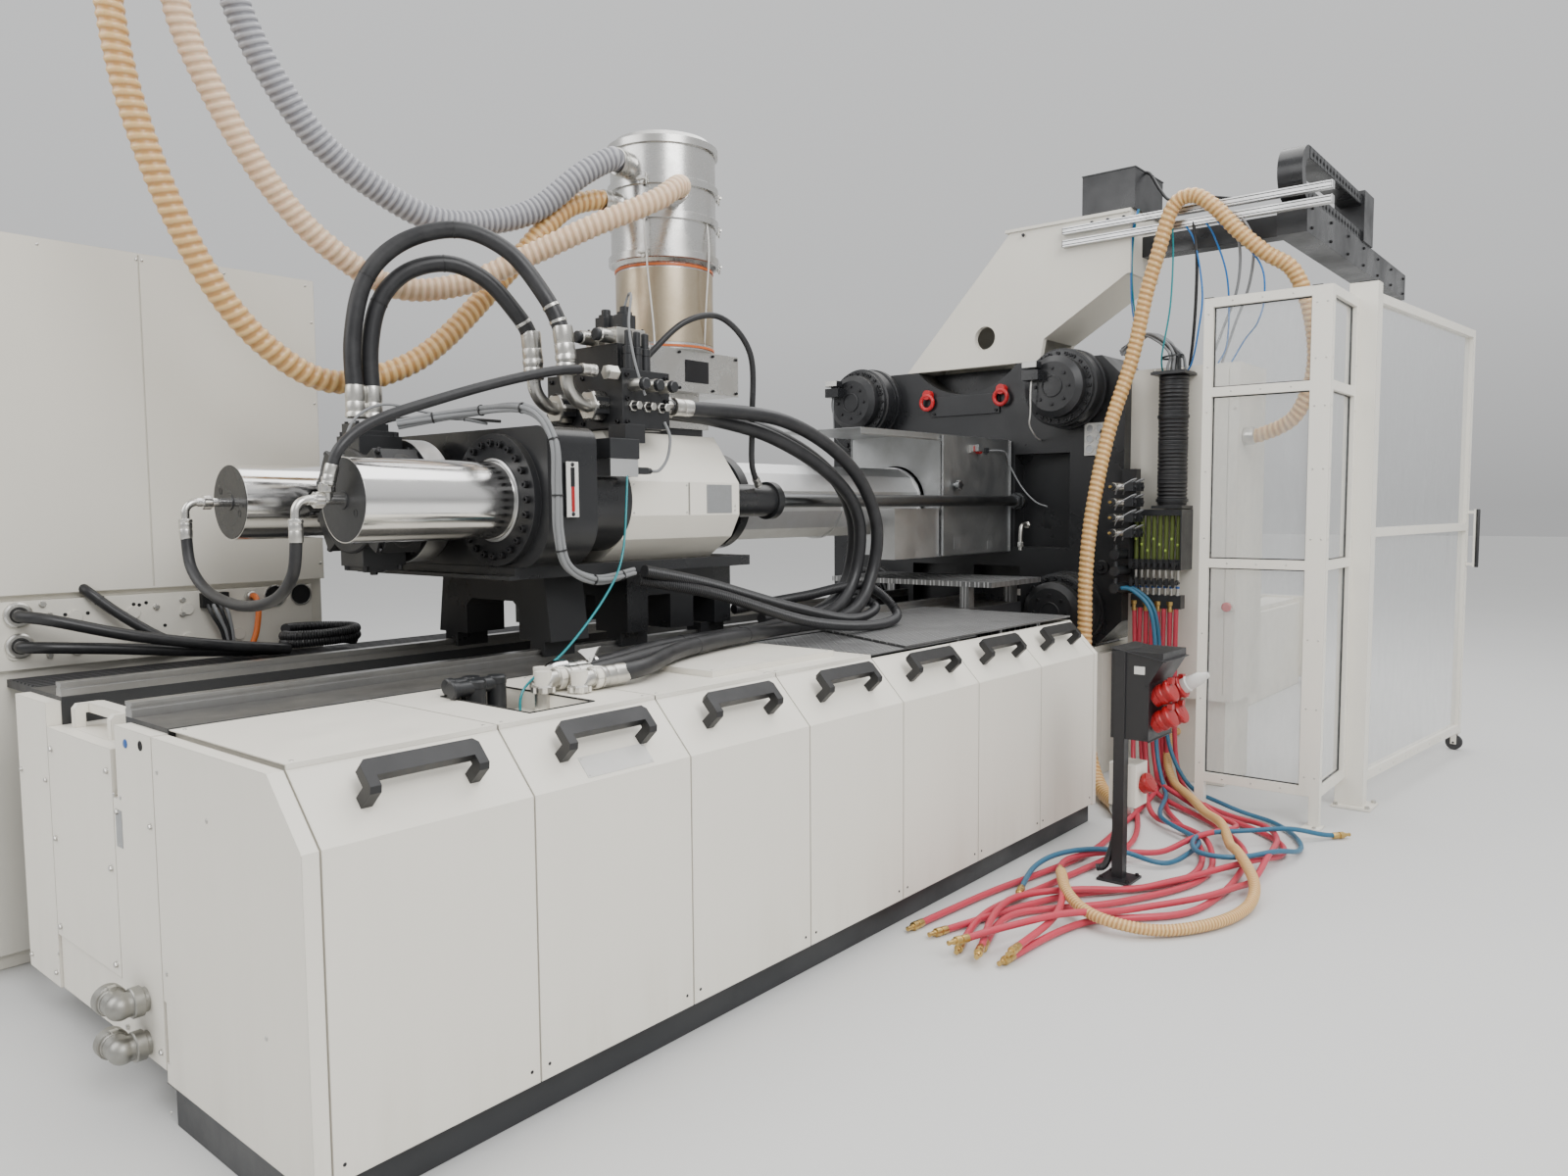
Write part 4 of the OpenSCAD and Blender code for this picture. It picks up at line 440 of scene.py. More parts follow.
def ribbed_plastic(name, valley, ridge, rough=0.35, clear=0.0):
    """Spiral hose: thin wall in the valleys, hard spiral on the ridges, from the mesh's rib attribute."""
    m = Recipe(name, rough)
    rib = m.node("Attribute", attribute_name="rib").outputs["Fac"]
    blotch = m.noise(9, 5)
    low = m.blend(blotch, np.array(valley) * 0.8, valley)
    colour = m.blend(m.steps(rib, (0.25, 0.0), (0.75, 1.0)), low, ridge)
    m.raised(m.noise(300, 3), 0.08, 0.0006)
    m.shader.inputs["Subsurface Weight"].default_value = clear
    m.shader.inputs["Subsurface Scale"].default_value = 0.02
    return m.done(colour)


def chequer_plate(name, tone):
    """Tread plate: lens-shaped lugs in two directions, taking turns from cell to cell, bright on top."""
    m = Recipe(name, 0.4, 0.85)
    x, y = m.parts()[:2]
    cell = 0.030
    u, v = m.sum("DIVIDE", x, cell), m.sum("DIVIDE", y, cell)
    odd = m.sum("PINGPONG", m.sum("ADD", m.sum("FLOOR", u), m.sum("FLOOR", v)), 1.0)
    a, b = (m.sum("SUBTRACT", m.sum("FRACT", w), 0.5) for w in (u, v))
    p, q = m.sum("ADD", a, b), m.sum("SUBTRACT", a, b)
    swap = lambda s, t: m.sum("ADD", m.sum("MULTIPLY", s, odd),
        m.sum("MULTIPLY", t, m.sum("SUBTRACT", 1.0, odd)))
    far, near = swap(p, q), swap(q, p)
    reach = m.sum("ADD", m.sum("POWER", m.sum("DIVIDE", far, 0.62), 2.0),
        m.sum("POWER", m.sum("DIVIDE", near, 0.17), 2.0))
    lug = m.steps(reach, (0.0, 1.0), (0.6, 0.85), (1.0, 0.0))
    m.raised(lug, 0.9, 0.0022)
    m.raised(m.noise(160, 4), 0.1, 0.0008)
    dirty = m.steps(m.noise(4, 6, 0.7), (0.35, 0.0), (0.7, 1.0))
    tone = np.array(tone)
    colour = m.blend(lug, m.blend(dirty, tone * 0.72, tone * 0.4), tone * 1.45)
    return m.done(colour, m.steps(dirty, (0.0, 0.34), (1.0, 0.55)))


def clear_sheet(name, tint, alpha):
    """Clear sheet: mostly see-through with a glossy face and a faint haze of fine scratches."""
    m = Recipe(name, 0.06)
    haze = m.noise(14, 6, 0.7, (1, 1, 0.3))
    m.raised(m.noise(3, 2), 0.05, 0.01)
    m.feed(m.shader.inputs["Alpha"], m.steps(haze, (0.35, alpha * 0.75), (0.75, alpha * 1.5)))
    return m.done(tint, m.steps(haze, (0.4, 0.05), (0.8, 0.16)))


cover_paint = powder_coat("cover_paint", (0.80, 0.765, 0.68))
cabinet_paint = powder_coat("cabinet_paint", (0.74, 0.71, 0.63), 0.45, 0.4)
guard_paint = powder_coat("guard_paint", (0.82, 0.79, 0.71), 0.36, 0.35)
casting = cast_paint("casting", (0.014, 0.0145, 0.016))
bed_paint = cast_paint("bed_paint", (0.022, 0.023, 0.025), 0.45, 40, 0.6)
machined = bright_metal("machined", (0.56, 0.565, 0.57), 0.28, (0.4, 12, 12))
oiled_rail = bright_metal("oiled_rail", (0.42, 0.42, 0.42), 0.30, (0.25, 16, 16), 0.5)
chrome = bright_metal("chrome", (0.80, 0.79, 0.775), 0.09, (14, 0.5, 0.5), 0.06, 0.1)
dark_rod = bright_metal("dark_rod", (0.16, 0.165, 0.17), 0.3, (0.5, 10, 10))
sheet_grey = bright_metal("sheet_grey", (0.44, 0.45, 0.455), 0.42, (1, 1, 14), 0.3)
stainless = bright_metal("stainless", (0.60, 0.595, 0.58), 0.24, (1, 1, 16), 0.35)
zinc = bright_metal("zinc", (0.62, 0.61, 0.58), 0.27, (1, 1, 1), 0.45, 0.5)
brass = bright_metal("brass", (0.62, 0.43, 0.16), 0.3, (1, 1, 1), 0.4, 0.5)
aluminium = bright_metal("aluminium", (0.68, 0.685, 0.69), 0.36, (0.5, 10, 10), 0.2)
tread = chequer_plate("tread", (0.42, 0.42, 0.42))
grip_black = moulded("grip_black", (0.012, 0.012, 0.013), 0.42)
box_black = moulded("box_black", (0.014, 0.014, 0.016), 0.38)
fitting_black = moulded("fitting_black", (0.02, 0.021, 0.023), 0.35)
mat_ribbed = rubber("mat_ribbed", (0.035, 0.035, 0.037), 0.6, 0.4)
socket_red = moulded("socket_red", (0.34, 0.010, 0.012), 0.3)
signal_red = cast_paint("signal_red", (0.42, 0.008, 0.012), 0.32, 90, 0.15)
plug_white = moulded("plug_white", (0.62, 0.61, 0.58), 0.35)
hose_black = rubber("hose_black", (0.020, 0.020, 0.0215))
cable_grey = rubber("cable_grey", (0.21, 0.215, 0.22), 0.5, 0.1)
cable_black = rubber("cable_black", (0.016, 0.016, 0.017), 0.42, 0.08)
cable_orange = rubber("cable_orange", (0.62, 0.14, 0.02), 0.45, 0.08)
air_blue = rubber("air_blue", (0.01, 0.14, 0.42), 0.35, 0.05)
air_teal = rubber("air_teal", (0.005, 0.22, 0.25), 0.35, 0.05)
hose_pink = rubber("hose_pink", (0.50, 0.045, 0.075), 0.42, 0.1)
hose_steel_blue = rubber("hose_steel_blue", (0.03, 0.13, 0.22), 0.42, 0.1)
tan_spiral = ribbed_plastic("tan_spiral", (0.50, 0.27, 0.09), (0.68, 0.45, 0.20), 0.32, 0.15)
cream_spiral = ribbed_plastic("cream_spiral", (0.62, 0.42, 0.26), (0.76, 0.56, 0.38), 0.38, 0.15)
grey_spiral = ribbed_plastic("grey_spiral", (0.20, 0.20, 0.22), (0.38, 0.38, 0.40), 0.42)
black_spiral = ribbed_plastic("black_spiral", (0.006, 0.006, 0.007), (0.028, 0.028, 0.030), 0.38)
clear = clear_sheet("clear", (0.66, 0.69, 0.70), 0.13)
pellet_glass = bright_metal("pellet_glass", (0.50, 0.42, 0.31), 0.30, (6, 6, 1), 0.5)

dress = {
    cover_paint: ["end_cover", "top_deck", "drive_cover"] + [f"door_{i}" for i in range(1, 8)],
    grip_black: [f"handle_{i}" for i in range(1, 8)],
    casting: ["carriage_base", "cylinder_housing", "drive_motor", "valve_manifold", "bell_casting",
     "fixed_platen", "lock_cylinders", "moving_platen", "robot_beam"],
    bed_paint: ["bed_frame"],
    oiled_rail: ["bed_rails", "tie_bars"],
    tread: ["tread_plates"],
    mat_ribbed: ["walkway", "gate_wheel"],
    machined: ["barrel", "screw", "ejector"],
    chrome: ["plungers"],
    dark_rod: ["carriage_rods"],
    sheet_grey: ["purge_guard", "purge_door"],
    stainless: ["hopper"],
    aluminium: ["barrel_jacket"],
    signal_red: ["lifting_eyes", "emergency_stop"],
    cabinet_paint: ["robot_console", "operator_cabinet", "far_cabinet", "clamp_bed"],
    fitting_black: ["cable_conduit", "water_battery"],
    box_black: ["socket_post"],
    guard_paint: ["guard_frame", "gate_frame"],
    clear: ["guard_glazing", "gate_glazing"],
}
for finish, names in dress.items():
    for n in names:
        nodes[n].data.materials.clear()
        nodes[n].data.materials.append(finish)


# ---------------------------------------------------------------- loose hoses
HOPPER = (2517.0, 244.0)
STUBS = [(168, 3060, 50), (238, 3084, 50), (186, 3214, 56)]
MATERIAL_RUNS = [
    [[1990, 100, 2975], [1730, 130, 2690], [1420, 170, 2360], [1200, 200, 2220], [970, 230, 2170],
     [760, 250, 2270], [580, 265, 2470], [430, 275, 2770], [330, 285, 3100], [290, 290, 3400],
     [290, 290, 3540]],
    [[2210, -395, 3040], [2080, -400, 2955], [1850, -285, 2830], [1650, -110, 2700], [1450, 40, 2580],
     [1200, 130, 2540], [940, 160, 2660], [750, 180, 2840], [600, 190, 3060], [480, 200, 3320],
     [450, 200, 3540]],
    [[2020, 0, 3120], [1850, 80, 2960], [1650, 130, 2875], [1400, 160, 2840], [1160, 190, 2920],
     [950, 210, 3050], [780, 220, 3250], [680, 230, 3450], [660, 230, 3580]],
]


def material_hoses():
    """Three conveying hoses: a helix-ribbed circle carried along each route up to its ceiling fitting."""
    for k, (finish, pitch) in enumerate([(tan_spiral, 34), (cream_spiral, 30), (grey_spiral, 26)]):
        turn, height, stub = STUBS[k]
        reach = HOPPER[1] + 70
        out = np.array([*cos_sin(turn), 0])
        mouth = np.array([HOPPER[0], 0, height]) + out * reach
        path = flowing([mouth, mouth + out * 45] + MATERIAL_RUNS[k], 10)
        radius = stub - 4
        hose = Shell().tube(path, radius, 20, "screw", pitch, radius * 0.12)
        piece = hose.put(f"material_hose_{k + 1}", finish, None, slot="hose_tan")
        end = path[-1]
        cap = Shell().turned(end - [0, 0, 12], UP, [
            (radius + 2, 0), (radius + 6, 4), (radius + 6, 76), (radius + 1, 80), (radius + 1, 88)], 32)
        cap = cap.put(f"ceiling_fitting_{k + 1}", zinc, "machine")
        bends(piece)
        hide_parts("material_hoses")
        free_cord(piece, metres(evenly(path, 60)), cap)


WATER_RUNS = [
    [[5250, -1200, 1069], [5235, -1215, 700], [5190, -1230, 250], [5040, -1300, 50], [4700, -1450, 17],
     [4000, -1700, 17], [3300, -1660, 17], [2760, -1600, 17], [2380, -1690, 17]],
    [[5250, -1272, 1069], [5235, -1280, 600], [5150, -1330, 150], [4900, -1500, 40], [4530, -1960, 17],
     [4080, -2220, 17], [3310, -2260, 17], [2890, -1960, 17], [2390, -1890, 17]],
    [[5250, -1344, 1069], [5235, -1350, 600], [5180, -1400, 150], [4950, -1520, 40], [4670, -1640, 17],
     [4100, -2010, 17], [3600, -2080, 17], [3100, -1760, 17], [2460, -1560, 17]],
    [[5250, -1416, 1069], [5235, -1420, 600], [5160, -1440, 150], [4850, -1480, 40], [4300, -1540, 17],
     [3700, -1600, 17], [3000, -1500, 17], [2700, -1470, 17], [2460, -1450, 17]],
]


def coupling(end, back):
    """Screwed brass coupling with a hexagon, a knurled sleeve and a nipple, turned along the hose's end."""
    d = np.asarray(end, float) - back
    d[2] = 0
    d /= np.linalg.norm(d)
    body = Shell()
    body.turned(end - d * 26, d, [(15.2, 0), (16, 3), (16, 30), (12, 32), (12, 36), (17, 38), (17, 60),
        (11, 62), (11, 74), (8, 76), (8, 90), (9.5, 91), (9.5, 97), (6, 98)], 20)
    return body


def water_hoses():
    """Water hoses from the flowmeters down and along the floor, each with its coupling."""
    for k, run in enumerate(WATER_RUNS):
        path = flowing(run, 10, 15)
        hose = Shell().tube(path, 14, 14)
        piece = hose.put(f"water_hose_{k + 1}", hose_pink, "machine", slot="hose_red")
        end = coupling(path[-1], path[-6]).put(f"water_coupling_{k + 1}", brass, "machine")
        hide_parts("water_hoses")
        free_cord(piece, metres(evenly(path, 30)), end)


material_hoses()
water_hoses()

# ---------------------------------------------------------------- hoses of the injection unit
OUTER_ARC = [[946, 0, 2088], [942, 0, 2300], [985, -30, 2520], [1100, -100, 2660], [1260, -215, 2712],
    [1400, -320, 2640], [1490, -410, 2480], [1532, -450, 2355], [1547, -458, 2240]]
INNER_ARC = [[1012, 0, 2088], [1010, 0, 2280], [1045, -20, 2450], [1130, -70, 2560], [1260, -140, 2600],
    [1380, -200, 2550], [1480, -240, 2440], [1532, -257, 2355], [1547, -258, 2240]]
LOOM = [[1020, -150, 1990], [1180, -300, 2030], [1250, -590, 2035], [1268, -717, 1930], [1274, -726, 1750],
        [1278, -726, 1600], [1310, -734, 1480], [1450, -725, 1425], [1700, -640, 1440]]
CROSS_RUN = [[504, 407, 1600], [504, 375, 1480], [508, 240, 1395], [512, 0, 1362], [508, -240, 1395],
    [504, -375, 1480], [504, -407, 1600]]
PRESSURE_RUN = [[610, -430, 1790], [640, -440, 1880], [760, -440, 1970], [1000, -460, 2060],
    [1250, -500, 2140], [1450, -540, 2190], [1565, -560, 2200]]


def ferrule(shell, start, along, radius, length):
    """Crimped sleeve: a turned profile with two grooves and a hexagon-sized collar at its foot."""
    r, n = radius, length
    shell.turned(start, along, [(r * 0.86, 0), (r * 1.05, 4), (r * 1.05, n * 0.16), (r * 0.96, n * 0.2),
        (r, n * 0.26), (r, n * 0.46), (r * 0.95, n * 0.5), (r, n * 0.55), (r, n * 0.9), (r * 0.94, n)], 28)


def arcs():
    """The two large arcs over the drive, with crimped ferrules, clamps and bent tubes into their nuts."""
    rubber_part, steel, ties = shells(3)
    for run in (OUTER_ARC, INNER_ARC):
        path = flowing(run, 10)
        rubber_part.tube(path, 31, 28)
        ferrule(steel, path[0] + [0, 0, -72], UP, 36, 120)
        back = path[-6] - path[-1]
        ferrule(steel, path[-1], back, 38.5, 130)
        for place in (0.86, 0.90):
            steel.turned(*gripping(path, place, 33.5, 12), 28)
        for place in (0.30, 0.55):
            ties.turned(*gripping(path, place, 32.5, 7), 24)
    for y in (-458, -258):
        # hexagon nut with its chamfers and the tube that bends up through a quarter circle
        steel.turned((1708, y, 2080), BACK, [(50, 0), (62, 0.5), (62.6, 6), (62.6, 54), (56, 62), (40, 62)],
            6)
        a = np.linspace(0, np.pi / 2, 13)
        bend = np.stack([1652 - 105 * np.sin(a), 0 * a + y, 2185 - 105 * np.cos(a)], 1)
        bend = np.concatenate([[[1700, y, 2080]], bend, [[1547, y, 2275]]])
        steel.tube(bend, 27, 24)
        ferrule(steel, (1547, y, 2183), UP, 38.5, 100)
    piece = rubber_part.put("large_arcs", hose_black, "unit", slot="hose_black")
    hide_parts("unit_hoses")
    steel.put("arc_fittings", zinc, "unit")
    ties.put("arc_ties", cable_black, "unit")


def loom():
    """Four sheathed cables laid side by side along the housing, held by black ties."""
    path = flowing(LOOM, 8)
    frames, run = carried(path)
    cables, ties = shells(2)
    for k in range(4):
        turn = run / 420 + k * np.pi / 2
        off = 10.5 * (np.cos(turn)[:, None] * frames[:, 0] + np.sin(turn)[:, None] * frames[:, 1])
        cables.tube(path + off, 8.5, 12)
    for place in np.linspace(0.08, 0.94, 8):
        ties.turned(*gripping(path, place, 20.5, 6), 20)
    cables.put("cable_loom", cable_grey, "unit")
    ties.put("loom_ties", cable_black, "unit")


def plunger_lines():
    """Cross hose between the plungers with bent chrome tubes, and the pressure line to the valve block."""
    rubber_part, steel = shells(2)
    path = flowing(CROSS_RUN, 10)
    rubber_part.tube(path, 19, 20)
    for y in (-PLUNGER_Y, PLUNGER_Y):
        a = np.linspace(0, np.pi / 2, 9)
        bend = np.stack([544 - 40 * np.sin(a), 0 * a + y, 1675 + 40 * np.cos(a)], 1)
        steel.tube(np.concatenate([[[580, y, AXIS_Z]], bend, [[504, y, 1600]]]), 14, 16)
        ferrule(steel, (504, y, 1656), (0, 0, -1), 22, 74)
        steel.turned((566, y, AXIS_Z), AHEAD, [(18, 0), (25.5, 1), (26, 4), (26, 26), (22, 30)], 6)
    piece = rubber_part.put("cross_line", hose_black, "injector", slot="hose_black")
    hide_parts("cross_hose")
    steel.put("cross_fittings", zinc, "injector")
    path = flowing(PRESSURE_RUN, 10)
    line = Shell().tube(path, 18, 20).put("pressure_line", hose_black, None, slot="hose_black")
    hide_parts("pressure_hose")
    bends(line)
    tee = Shell()
    tee.rod((610, -PLUNGER_Y, AXIS_Z), UP, 17, 60)
    tee.turned((610, -PLUNGER_Y, 1738), UP, [(22, 0), (26, 3), (26, 25), (22, 28)], 6)
    ferrule(tee, path[0] - [6, -4, 30], path[3] - path[0], 22, 70)
    tee.put("pressure_tee", zinc, "injector")
    end = Shell()
    ferrule(end, path[-1] + [36, 0, 0], BACK, 22.5, 70)
    end.turned((1652, -560, 2200), AHEAD, [(24, 0), (29, 2), (29, 50), (24, 56)], 6)
    end.put("pressure_end", zinc, "unit")


arcs()
loom()
plunger_lines()

PORTS = [[1050, -915], [1130, -1000], [1110, -830]]
PORT_Z = 1128


def supply_run(k):
    """Route of one supply hose from the valve block, round the turn and back to its elbow on the deck."""
    o, e = [0, 60, 30][k], PORTS[k]
    return [[2050.3, -540 + k * 100, 2095], [2090, -540 + k * 100, 2095], [2650 - o, -610 + k * 60, 2070 - o],
        [3080 - o, -650 + k * 50, 1890 - o], [3300 - o, -660 + k * 60, 1620], [3290 - o, -640 + k * 60, 1340],
        [3080 - o, -650 + k * 60, 1165 + k * 14], [2500, -700 + k * 30, 1152],
        [1800, (e[1] - 640) / 2 + k * 20 - 30, PORT_Z + 22], [e[0] + 300, e[1] + 10, PORT_Z + 8],
        [e[0] + 130, e[1], PORT_Z], [e[0] + 90.3, e[1], PORT_Z]]


CONDUITS = [
    [[1760, -640, 1440], [2100, -660, 1370], [2600, -680, 1240], [3050, -690, 1150], [3330, -640, 1180],
     [3250, -560, 1230], [2900, -560, 1180], [2500, -600, 1190]],
    [[1760, -600, 1405], [2100, -700, 1330], [2600, -790, 1180], [3100, -790, 1122], [3400, -720, 1150],
     [3300, -590, 1290], [2900, -520, 1260], [2450, -480, 1230]],
]


def supply_lines():
    """Three supply hoses, their elbows and caps, and the ribbed conduits."""
    elbows, ties, pale = shells(3)
    for k, (x, y) in enumerate(PORTS):
        path = flowing(supply_run(k), 12)
        hose = Shell().tube(path, 31, 24).put(f"supply_hose_{k + 1}", hose_black, None, slot="hose_black")
        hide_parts("supply_hoses")
        bends(hose)
        # cast elbow: upright leg, quarter bend and outgoing leg, with union nuts
        a = np.linspace(0, np.pi / 2, 9)
        bend = np.stack([x + 34 - 34 * np.cos(a), 0 * a + y, PORT_Z - 34 + 34 * np.sin(a)], 1)
        elbows.tube(np.concatenate([[[x, y, 1040]], bend, [[x + 92, y, PORT_Z]]]), 29.5, 24)
        elbows.turned((x, y, 1088), UP, [(36, 0), (41, 3), (41, 20), (36, 24)], 6)
        elbows.turned((x + 48, y, PORT_Z), AHEAD, [(34, 0), (39, 3), (39, 26), (34, 30)], 6)
        ferrule(elbows, (x + 78, y, PORT_Z), AHEAD, 35.5, 120)
        ferrule(pale, path[0] - [30, 0, 0], AHEAD, 35.5, 110)
        for place in (0.62, 0.72, 0.82):
            ties.turned(*gripping(path, place, 32.5, 8), 20)
    elbows.put("deck_elbows", zinc, "machine")
    pale.put("block_ferrules", zinc, "unit")
    ties.put("supply_ties", cable_black, "machine")
    for k, run in enumerate(CONDUITS):
        path = flowing(run, 10)
        pipe = Shell().tube(path, 24, 18, None, 9, 3.2)
        pipe = pipe.put(f"ribbed_conduit_{k + 1}", black_spiral, None)
        bends(pipe)
    caps = Shell()
    for x, y in ((911, -717), (880, -790), (980, -760)):
        caps.turned((x, y, 1004), UP, [(31, 0), (31, 108), (33, 110), (33, 130), (28, 136), (10, 137)], 28)
        caps.turned((x, y, 1115), BACK, [(25, 0), (25, 70), (29, 72), (29, 90), (24, 94)], 24)
    caps.put("deck_caps", fitting_black, "machine")


supply_lines()


# ---------------------------------------------------------------- small shared pieces
def hoop(shell, start, along, loop, sides=48):
    """A closed outline of (radius, distance) carried all the way round a line, open in the middle."""
    along, spoke = spokes(along, sides)
    pts = np.array([np.asarray(start) + d * along + r * spoke for r, d in loop])
    m = len(loop)
    k, j = np.meshgrid(np.arange(m), np.arange(sides), indexing="ij")
    row, after, beside = k * sides, (k + 1) % m * sides, (j + 1) % sides
    quads = np.stack([row + j, row + beside, after + beside, after + j], -1).reshape(-1, 4)
    return shell.add(pts, quads.tolist())


def sockets(shell, spots, along, radius, height):
    """Socket head screws: a knurled-looking round head with a sunk hexagon."""
    for spot in spots:
        shell.turned(spot, along, [(radius * 0.96, 0), (radius, 0.6), (radius, height - 1.2),
            (radius * 0.92, height), (radius * 0.56, height), (radius * 0.54, height * 0.45)], 18)


def hexes(shell, spots, along, radius, height):
    """Hexagon heads on a thin washer."""
    for spot in spots:
        spot, d = np.asarray(spot, float), np.asarray(along, float)
        shell.turned(spot, d, [(radius * 1.25, 0), (radius * 1.25, 1.6)], 20)
        shell.turned(spot + d * 1.6, d, [(radius * 1.1, 0), (radius * 1.15, 0.6), (radius * 1.15, height - 2),
            (radius, height)], 6)


def domes(shell, spots, along, radius, height):
    """Pan heads and rivets: a low dome."""
    for spot in spots:
        a = np.linspace(0, np.pi / 2, 5)
        shell.turned(spot, along, [(radius * math.cos(t), height * math.sin(t)) for t in a], 16)


def cable(name, points, radius, finish, body, per=8, clips=0, sides=10):
    """A fixed cable along its route, with black ties if it has any."""
    path = flowing(points, per)
    shell = Shell().tube(path, radius, sides)
    piece = shell.put(name, finish, body)
    if clips:
        ties = Shell()
        for place in np.linspace(0.12, 0.88, clips):
            ties.turned(*gripping(path, place, radius + 1.6, 5), 14)
        ties.put(name + "_ties", cable_black, body)
    return piece


def gland(shell, spot, along, radius):
    """Cable gland: hexagon body and a ribbed cap that narrows to the cable."""
    shell.turned(spot, along, [(radius * 1.5, 0), (radius * 1.6, 1), (radius * 1.6, 7), (radius * 1.5, 8)], 6)
    shell.turned(np.asarray(spot) + np.asarray(along, float) * 8, along, [
        (radius * 1.35, 0), (radius * 1.35, 12), (radius * 1.2, 17), (radius * 1.02, 20)], 20)


blue_signal = moulded("blue_signal", (0.02, 0.10, 0.34), 0.35)
yellow_green = moulded("yellow_green", (0.42, 0.58, 0.10), 0.3)
yellow_green_glass = moulded("yellow_green_glass", (0.10, 0.13, 0.03), 0.12, 0.02)
orange_rim = rubber("orange_rim", (0.55, 0.12, 0.02), 0.4, 0.1)
galvanised = bright_metal("galvanised", (0.36, 0.355, 0.33), 0.42, (1, 1, 1), 0.6, 0.3)
plate_grey = bright_metal("plate_grey", (0.46, 0.47, 0.48), 0.45, (1, 1, 1), 0.2)
screw_dark = bright_metal("screw_dark", (0.055, 0.055, 0.058), 0.38, (1, 1, 1), 0.3, 0.5)
seal_black = rubber("seal_black", (0.012, 0.012, 0.012), 0.35, 0.05)
# near-black for real black parts, and for black discs that stand for the painted shade inside holes
black_and_hole_shade = moulded("black_and_hole_shade", (0.004, 0.004, 0.004), 0.7)


# ---------------------------------------------------------------- bed, covers and end face
def end_face():
    """Screws, plug, blank plate and a hole's rim on the end panels, with a black disc of painted shade inside
    the rim, and the pipes' worm clamps.
    """
    bright, dark, blue, plate = shells(4)
    domes(bright, [(0, -278, 866), (0, -329, 866), (0, 276, 249), (0, -584, 19), (0, -600, 980),
        (0, -600, 420), (0, -900, 900), (0, -1180, 420)], BACK, 7, 3.2)
    blue.turned((0, -387, 1030), BACK, [(13, 0), (13, 2), (9, 4)], 24)
    hoop(dark, (0, -493, 1038), BACK, [(9, -1), (14, -1), (14, 1.6), (9, 1.6)], 28)
    # black disc filling the rim: painted shade inside the hole
    dark.turned((0.4, -493, 1038), BACK, [(9, 0), (9, 0.6)], 24)
    plate.block((-1.6, -332, 717), (0, -288, 827))
    domes(bright, [(-1.6, -310, 724), (-1.6, -310, 820)], BACK, 3, 1.4)
    hexes(bright, [(0, y, z) for y in (-235, 235) for z in (350, 640, 930)], BACK, 8, 7)
    hexes(bright, [(0, y, z) for y in (-540, -300, 300, 540) for z in (180, 820)], BACK, 7, 6)
    for z in PIPE_HEIGHTS:
        hoop(bright, (-68, PIPE_Y + 64, z), (0, 1, 0), [(35, -16), (37, -16), (37, -4), (35, -4)], 36)
        bright.block((-78, PIPE_Y + 46, z + 34), (-58, PIPE_Y + 62, z + 45))
    bright.put("end_screws", zinc, "machine")
    dark.put("end_grommet_and_hole_shade", black_and_hole_shade, "machine")
    blue.put("end_plug", blue_signal, "machine")
    plate.put("end_plate", plate_grey, "machine", 0.5)


def cover_trim():
    """Blank riveted plate on the second cover, hinge screws at the covers' feet and screws of the grips."""
    lean = math.atan2(1072 - 908, 156)
    up = np.array([0, math.cos(lean), math.sin(lean)])
    out = np.array([0, -math.sin(lean), math.cos(lean)])
    base = np.array([970, COVER_Y, 908.0])
    plate, rivets = shells(2)
    corners = [base + [u, 0, 0] + up * v for u, v in ((-128, 14), (126, 14), (126, 84), (-128, 84))]
    plate.skin([[c + out * d for c in corners] for d in (0, 1.4)])
    plate.put("cover_plate", plug_white, "cover_2")
    domes(rivets, [base + [u, 0, 0] + up * v + out * 1.4 for u in (-120, 118) for v in (21, 77)], out, 3, 1.6)
    rivets.put("cover_plate_rivets", zinc, "cover_2")
    for i in range(1, 8):
        x = 45 + (i - 0.5) * 600
        heads = Shell()
        for u in (-152.5, 152.5):
            foot = np.array([x + u, COVER_Y, 908.0]) + up * (226 * 0.43)
            domes(heads, [foot + up * 12 + out * 44.9], -up, 4, 2)
        domes(heads, [(x + u, COVER_Y, 150) for u in (-270, 270)], NEAR, 5, 2.4)
        heads.put(f"cover_screws_{i}", screw_dark, f"cover_{i}")


